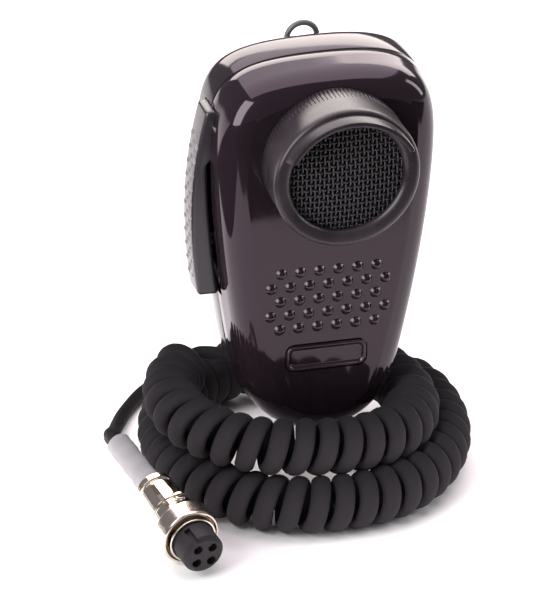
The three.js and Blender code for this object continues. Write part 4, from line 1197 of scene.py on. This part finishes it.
# ---------------------------------------------------------------------------------------------
# Plug
# ---------------------------------------------------------------------------------------------
@dataclass
class Plug:
    """The four-pole screw-on plug: split clamp cap, body, side screw, ring and insert."""

    bench: Bench
    place: PlugPlace
    clamp_radius: float = 6.3
    clamp_length: float = 13.6
    body_radius: float = 7.3
    shell: float = 7.6
    ring_radius: float = 9.5
    ring_back: float = 19.5
    face: float = 27.0
    nose: float = 36.5
    insert_radius: float = 6.6
    slot_turn: float = 32.0
    slot_half: float = 0.7
    screw_back: float = 2.6
    sides: int = 80

    def turn(self, profile: Sequence[tuple[float, float]], soft: float = 0.25, closed: bool = False) -> Patch:
        """Turns a softened profile round the plug's axis."""
        return revolve(softened(profile, soft), self.place.rear, self.place.axis, self.sides, closed=closed)

    def slot(self, half: float, start: float, end: float, low: float, high: float) -> list[Patch]:
        """A cutting block along the plug, turned round its axis to the slot's side."""
        angle = math.radians(self.slot_turn)
        cosine, sine = math.cos(angle), math.sin(angle)
        turned = np.array([[cosine, 0, -sine], [0, 1, 0], [sine, 0, cosine]])
        return block((-half, start, low), (half, end, high), turned @ self.place.basis, self.place.rear)

    def build_clamp(self) -> bpy.types.Object:
        """The cap: a rear bead, a groove and a long slot along its upper side."""
        r = self.clamp_radius
        piece = self.bench.mesh("plug_cap", [self.turn([
            (0, 0.3), (3.2, 0.3), (3.4, 0), (r - 0.9, 0), (r - 0.15, 0.6), (r - 0.15, 2.7), (r - 0.95, 3.1),
            (r - 0.95, 3.8), (r - 0.1, 4.2), (r + 0.25, self.clamp_length - 0.3), (r, self.clamp_length),
            (0, self.clamp_length)])])
        self.bench.carve(piece, self.slot(self.slot_half, 5.0, self.clamp_length + 1, -12, -r + 2.6))
        return self.bench.finish(piece, "root", "nickel", NICKEL, ("plug_clamp",))

    def build_body(self) -> bpy.types.Object:
        """The body: it flares to the shell that holds the insert; a short slot and a screw seat."""
        r, back, face = self.body_radius, self.ring_back, self.face
        shell = self.shell
        piece = self.bench.mesh("plug_barrel", [self.turn([
            (0, self.clamp_length + GAP), (self.clamp_radius, self.clamp_length + GAP),
            (self.clamp_radius + 0.35, self.clamp_length + 0.7), (r, back - 4), (shell, back - 0.9),
            (shell, face - 3.2), (shell + 0.55, face - 3.0), (shell + 0.55, face - 2.2), (shell, face - 2),
            (shell, face + 1.2), (shell - 0.15, face + 1.4), (self.insert_radius + GAP, face + 1.4),
            (self.insert_radius + GAP, back + 0.01), (0, back)], 0.15)])
        start = self.place.inside(0, back - self.screw_back, -r + 1.4)
        end = self.place.inside(0, back - self.screw_back, -r - 2.6)
        cut = self.clamp_length
        self.bench.carve(piece, self.slot(self.slot_half, cut + 1.3, cut + 4.1, -12, -r + 2.0))
        self.bench.carve(piece, cylinder(start, end, 1.3, 24))
        return self.bench.finish(piece, "root", "nickel", NICKEL, ("plug_body",))

    def build_screw(self) -> bpy.types.Object:
        """The screw on the upper side that holds the insert, with a slotted head."""
        seat = self.place.inside(0, self.ring_back - self.screw_back, -self.body_radius + 1.2)
        upward = -self.place.basis[2]
        profile = softened([
            (0, 3.1), (1.6, 3.05), (1.95, 2.6), (1.95, 1.8), (1.0, 1.8), (1.0, 0), (0, 0)], 0.2)
        piece = self.bench.mesh("plug_screw_head", [revolve(profile, seat, upward, 28)])
        reach = self.body_radius + 1.2
        middle = self.ring_back - self.screw_back
        self.bench.carve(piece, block((-3, middle - 0.35, -reach - 3), (3, middle + 0.35, -reach),
                                      self.place.basis, self.place.rear))
        return self.bench.finish(piece, "root", "nickel", NICKEL, ("plug_screw",))

    def build_ring(self) -> bpy.types.Object:
        """The coupling ring: bevelled at the back, a bright rolled front lip and a threaded bore."""
        r, back, face, shell = self.ring_radius, self.ring_back, self.face, self.shell
        thread = np.arange(face - 0.8, back + 2.6, -0.5)
        ridges = np.column_stack([r - 1.1 + 0.14 * (-1.0) ** np.arange(len(thread)), thread])
        outside = softened([(shell + GAP, back), (r - 1.5, back), (r - 0.1, back + 1.2),
                            (r - 0.12, face - 2.4), (r - 0.12, face - 0.8), (r - 0.55, face),
                            (r - 1.0, face)], 0.35)
        profile = np.concatenate([outside, ridges, [(r - 1.1, back + 2), (shell + GAP, back + 2)]])
        piece = self.bench.mesh("plug_ring", [revolve(
            profile, self.place.rear, self.place.axis, self.sides, closed=True)], sharp=40.0)
        return self.bench.finish(piece, "plug_ring", "nickel", NICKEL_RING, ("coupling_ring",))

    def build_insert(self) -> bpy.types.Object:
        """The black insert with a chamfer, four contact holes and a key slot at its upper side."""
        r, nose = self.insert_radius, self.nose
        piece = self.bench.mesh("plug_core", [self.turn([
            (0, self.ring_back + GAP), (r, self.ring_back + GAP), (r, nose - 1.2), (r - 1.2, nose),
            (0, nose)], 0.2)])
        angles = np.pi / 4 + np.arange(4) * np.pi / 2
        holes = [patch for a in angles for patch in cylinder(
            self.place.inside(3.4 * math.cos(a), self.ring_back + 2, 3.4 * math.sin(a)),
            self.place.inside(3.4 * math.cos(a), nose + 2, 3.4 * math.sin(a)), 1.5, 24)]
        self.bench.carve(piece, holes)
        self.bench.carve(piece, self.slot(0.95, self.face + 2.5, nose + 2, -9, -r + 1.3))
        return self.bench.finish(piece, "root", "insert_black", INSERT_BLACK, ("plug_insert",))

    def build(self) -> list[bpy.types.Object]:
        """Makes the plug's pieces and returns them."""
        return [
            self.build_clamp(), self.build_body(), self.build_screw(), self.build_ring(),
            self.build_insert()]


# ---------------------------------------------------------------------------------------------
# Studio
# ---------------------------------------------------------------------------------------------
@dataclass
class Studio:
    """Camera, floor and soft lights."""

    bench: Bench
    cord: list[bpy.types.Object] = field(default_factory=list)
    plug: list[bpy.types.Object] = field(default_factory=list)
    azimuth: float = -17.5
    elevation: float = 28.0
    roll: float = 2.0
    distance: float = 12000.0
    per_mm: float = 3.3
    right: float = -12.27
    up: float = 32.9

    def camera(self) -> None:
        """A long lens that looks down on the front left, tipped a little to the right."""
        a, e, r = (math.radians(v) for v in (self.azimuth, self.elevation, self.roll))
        across = np.array([math.cos(a), math.sin(a), 0.0])
        upward = np.array([-math.sin(a) * math.sin(e), math.cos(a) * math.sin(e), math.cos(e)])
        right = math.cos(r) * across + math.sin(r) * upward
        up = math.cos(r) * upward - math.sin(r) * across
        back = np.cross(right, up)
        target = self.right * right + self.up * up
        place = (target + self.distance * back) * MM + self.bench.origin
        data = bpy.data.cameras.new("camera")
        data.sensor_width = 36.0
        data.lens = self.per_mm * self.distance * data.sensor_width / 609.0
        data.clip_start, data.clip_end = 0.05, 20.0
        made = bpy.data.objects.new("camera", data)
        bpy.context.scene.collection.objects.link(made)
        turned = np.eye(4)
        turned[:3, 0], turned[:3, 1], turned[:3, 2], turned[:3, 3] = right, up, back, place
        made.matrix_world = Matrix(turned.tolist())
        bpy.context.scene.camera = made

    def light(self, name: str, towards: Sequence[float], away: float, size: tuple[float, float],
              radiance: float, color: tuple[float, float, float] = (1, 1, 1),
              spared: Sequence[bpy.types.Object] = (), only: Sequence[bpy.types.Object] = ()) -> None:
        """A soft box that faces the object.

        Args:
            name: Name of the light.
            towards: Direction from the object to the light.
            away: Distance in metres.
            size: Width and height in metres.
            radiance: How bright its surface looks.
            color: Its colour.
            spared: Pieces that it doesn't light.
            only: The only pieces that it lights, if there are any.
        """
        data = bpy.data.lights.new(name, "AREA")
        data.shape = "RECTANGLE"
        data.size, data.size_y = size
        data.energy = radiance * math.pi * size[0] * size[1]
        data.color = color
        made = bpy.data.objects.new(name, data)
        bpy.context.scene.collection.objects.link(made)
        direction = Vector(unit(towards))
        made.location = direction * away
        made.rotation_euler = direction.to_track_quat("Z", "Y").to_euler()
        made.visible_camera = False
        if spared or only:
            lit = bpy.data.collections.new(name)
            made.light_linking.receiver_collection = lit
            for piece in (*spared, *only):
                lit.objects.link(piece)
            for member in lit.collection_objects:
                member.light_linking.link_state = "INCLUDE" if only else "EXCLUDE"

    def plain(self, name: str, color: tuple[float, float, float], rough: float) -> bpy.types.Material:
        """A plain studio material with a faint unevenness."""
        made = bpy.data.materials.new(name)
        made.use_nodes = True
        nodes, link = made.node_tree.nodes, made.node_tree.links.new
        shader, noise = nodes["Principled BSDF"], nodes.new("ShaderNodeTexNoise")
        noise.inputs["Scale"].default_value = 6.0
        tint = nodes.new("ShaderNodeMix")
        tint.data_type = "RGBA"
        tint.inputs["A"].default_value = (*color, 1)
        tint.inputs["B"].default_value = (*(c * 0.985 for c in color), 1)
        link(noise.outputs[0], tint.inputs["Factor"])
        link(tint.outputs["Result"], shader.inputs["Base Color"])
        shader.inputs["Roughness"].default_value = rough
        shader.inputs["Specular IOR Level"].default_value = 0.1
        return made

    def sheet(self, name: str, low: tuple[float, float], high: tuple[float, float], z: float,
              material: bpy.types.Material) -> bpy.types.Object:
        """A flat rectangle that isn't part of the object, in millimetres."""
        rows = np.array([[(x, y, z) for x in (low[0], high[0])] for y in (low[1], high[1])])
        made = self.bench.mesh(name, [grid(rows.astype(float))])
        made.data.materials.append(material)
        return made

    def build(self) -> None:
        """Places the floor, two dark flags that keep the case's reflections deep, and the lights."""
        pale = self.plain("floor_pale", (0.86, 0.85, 0.85), 0.7)
        self.sheet("floor", (-2500, -2500), (2500, 2500), FLOOR_Z, pale)
        black = self.plain("flag_black", (0.004, 0.004, 0.004), 0.9)
        flags = (("front_flag", (-2400, -1500), (900, -185)), ("left_flag", (-2400, -184), (-150, 160)))
        for name, low, high in flags:
            flag = self.sheet(name, low, high, FLOOR_Z + 0.6, black)
            flag.visible_camera = False
            flag.visible_shadow = False
            flag.visible_diffuse = False
        spared = [*self.cord, *self.plug]
        self.light("overhead", (0.05, 0.3, 1.0), 1.1, (1.5, 1.4), 3.0, (1.0, 0.9, 0.97), spared=self.cord)
        self.light("back_panel", (0.27, 0.84, 0.5), 1.3, (2.0, 0.5), 7.5, (1.0, 0.92, 0.88), spared=self.cord)
        self.light("left_key", (-0.84, -0.36, 0.40), 1.2, (0.8, 1.2), 9.0, spared=spared)
        self.light("right_key", (0.92, -0.1, 0.38), 1.2, (0.3, 0.8), 7.0, spared=spared)
        self.light("cord_key", (-0.55, -0.62, 0.8), 1.2, (0.17, 1.1), 15.0, only=self.cord)
        self.light("cord_fill", (0.65, -0.5, 0.55), 1.2, (0.14, 0.9), 7.0, only=self.cord)
        self.light("plug_key", (-0.7, -0.3, 0.65), 1.2, (0.5, 0.8), 2.2, only=self.plug)
        world = bpy.data.worlds.new("studio")
        bpy.context.scene.world = world
        world.use_nodes = True
        nodes, link = world.node_tree.nodes, world.node_tree.links.new
        path, mix = nodes.new("ShaderNodeLightPath"), nodes.new("ShaderNodeMix")
        mix.data_type = "RGBA"
        mix.inputs["A"].default_value = (0.22, 0.21, 0.22, 1)
        mix.inputs["B"].default_value = (0.9, 0.9, 0.9, 1)
        link(path.outputs["Is Camera Ray"], mix.inputs["Factor"])
        link(mix.outputs["Result"], nodes["Background"].inputs["Color"])
        bpy.context.scene.view_settings.view_transform = "Standard"
        bpy.context.scene.view_settings.look = "None"


def corners(box: tuple[Vector, Vector]) -> list[list[float]]:
    """A box as two plain lists of numbers."""
    return [list(corner) for corner in box]


def main() -> None:
    """Loads the CAD frame and builds the microphone round it."""
    logging.basicConfig(level=logging.INFO, format="%(message)s")
    for item in list(bpy.data.objects):
        bpy.data.objects.remove(item)
    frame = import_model()
    low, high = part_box("front_shell")
    bench = Bench(np.array([(low.x + high.x) / 2, high.y, low.z]))
    studio = Studio(bench)
    studio.camera()
    place = PlugPlace()
    cord = CurlyCord(bench, place)
    cord_piece = cord.build()
    sleeve = Sleeve(bench, place).build()
    plug = Plug(bench, place).build()
    studio.cord += [cord_piece, sleeve]
    studio.plug += plug
    case = Case(bench)
    case.build()
    Mouthpiece(bench).build()
    TalkLever(bench, case.outline()).build()
    BackFittings(bench).build()
    for name, finish in CARRIED.items():
        data = frame["nodes"][name].data
        data.materials.clear()
        data.materials.append(finish.material())
        LOG.info("%s dressed in %s", name, finish.name)
    studio.build()
    LOG.info("%d new pieces", len(bench.names))


if __name__ == "__main__":
    main()
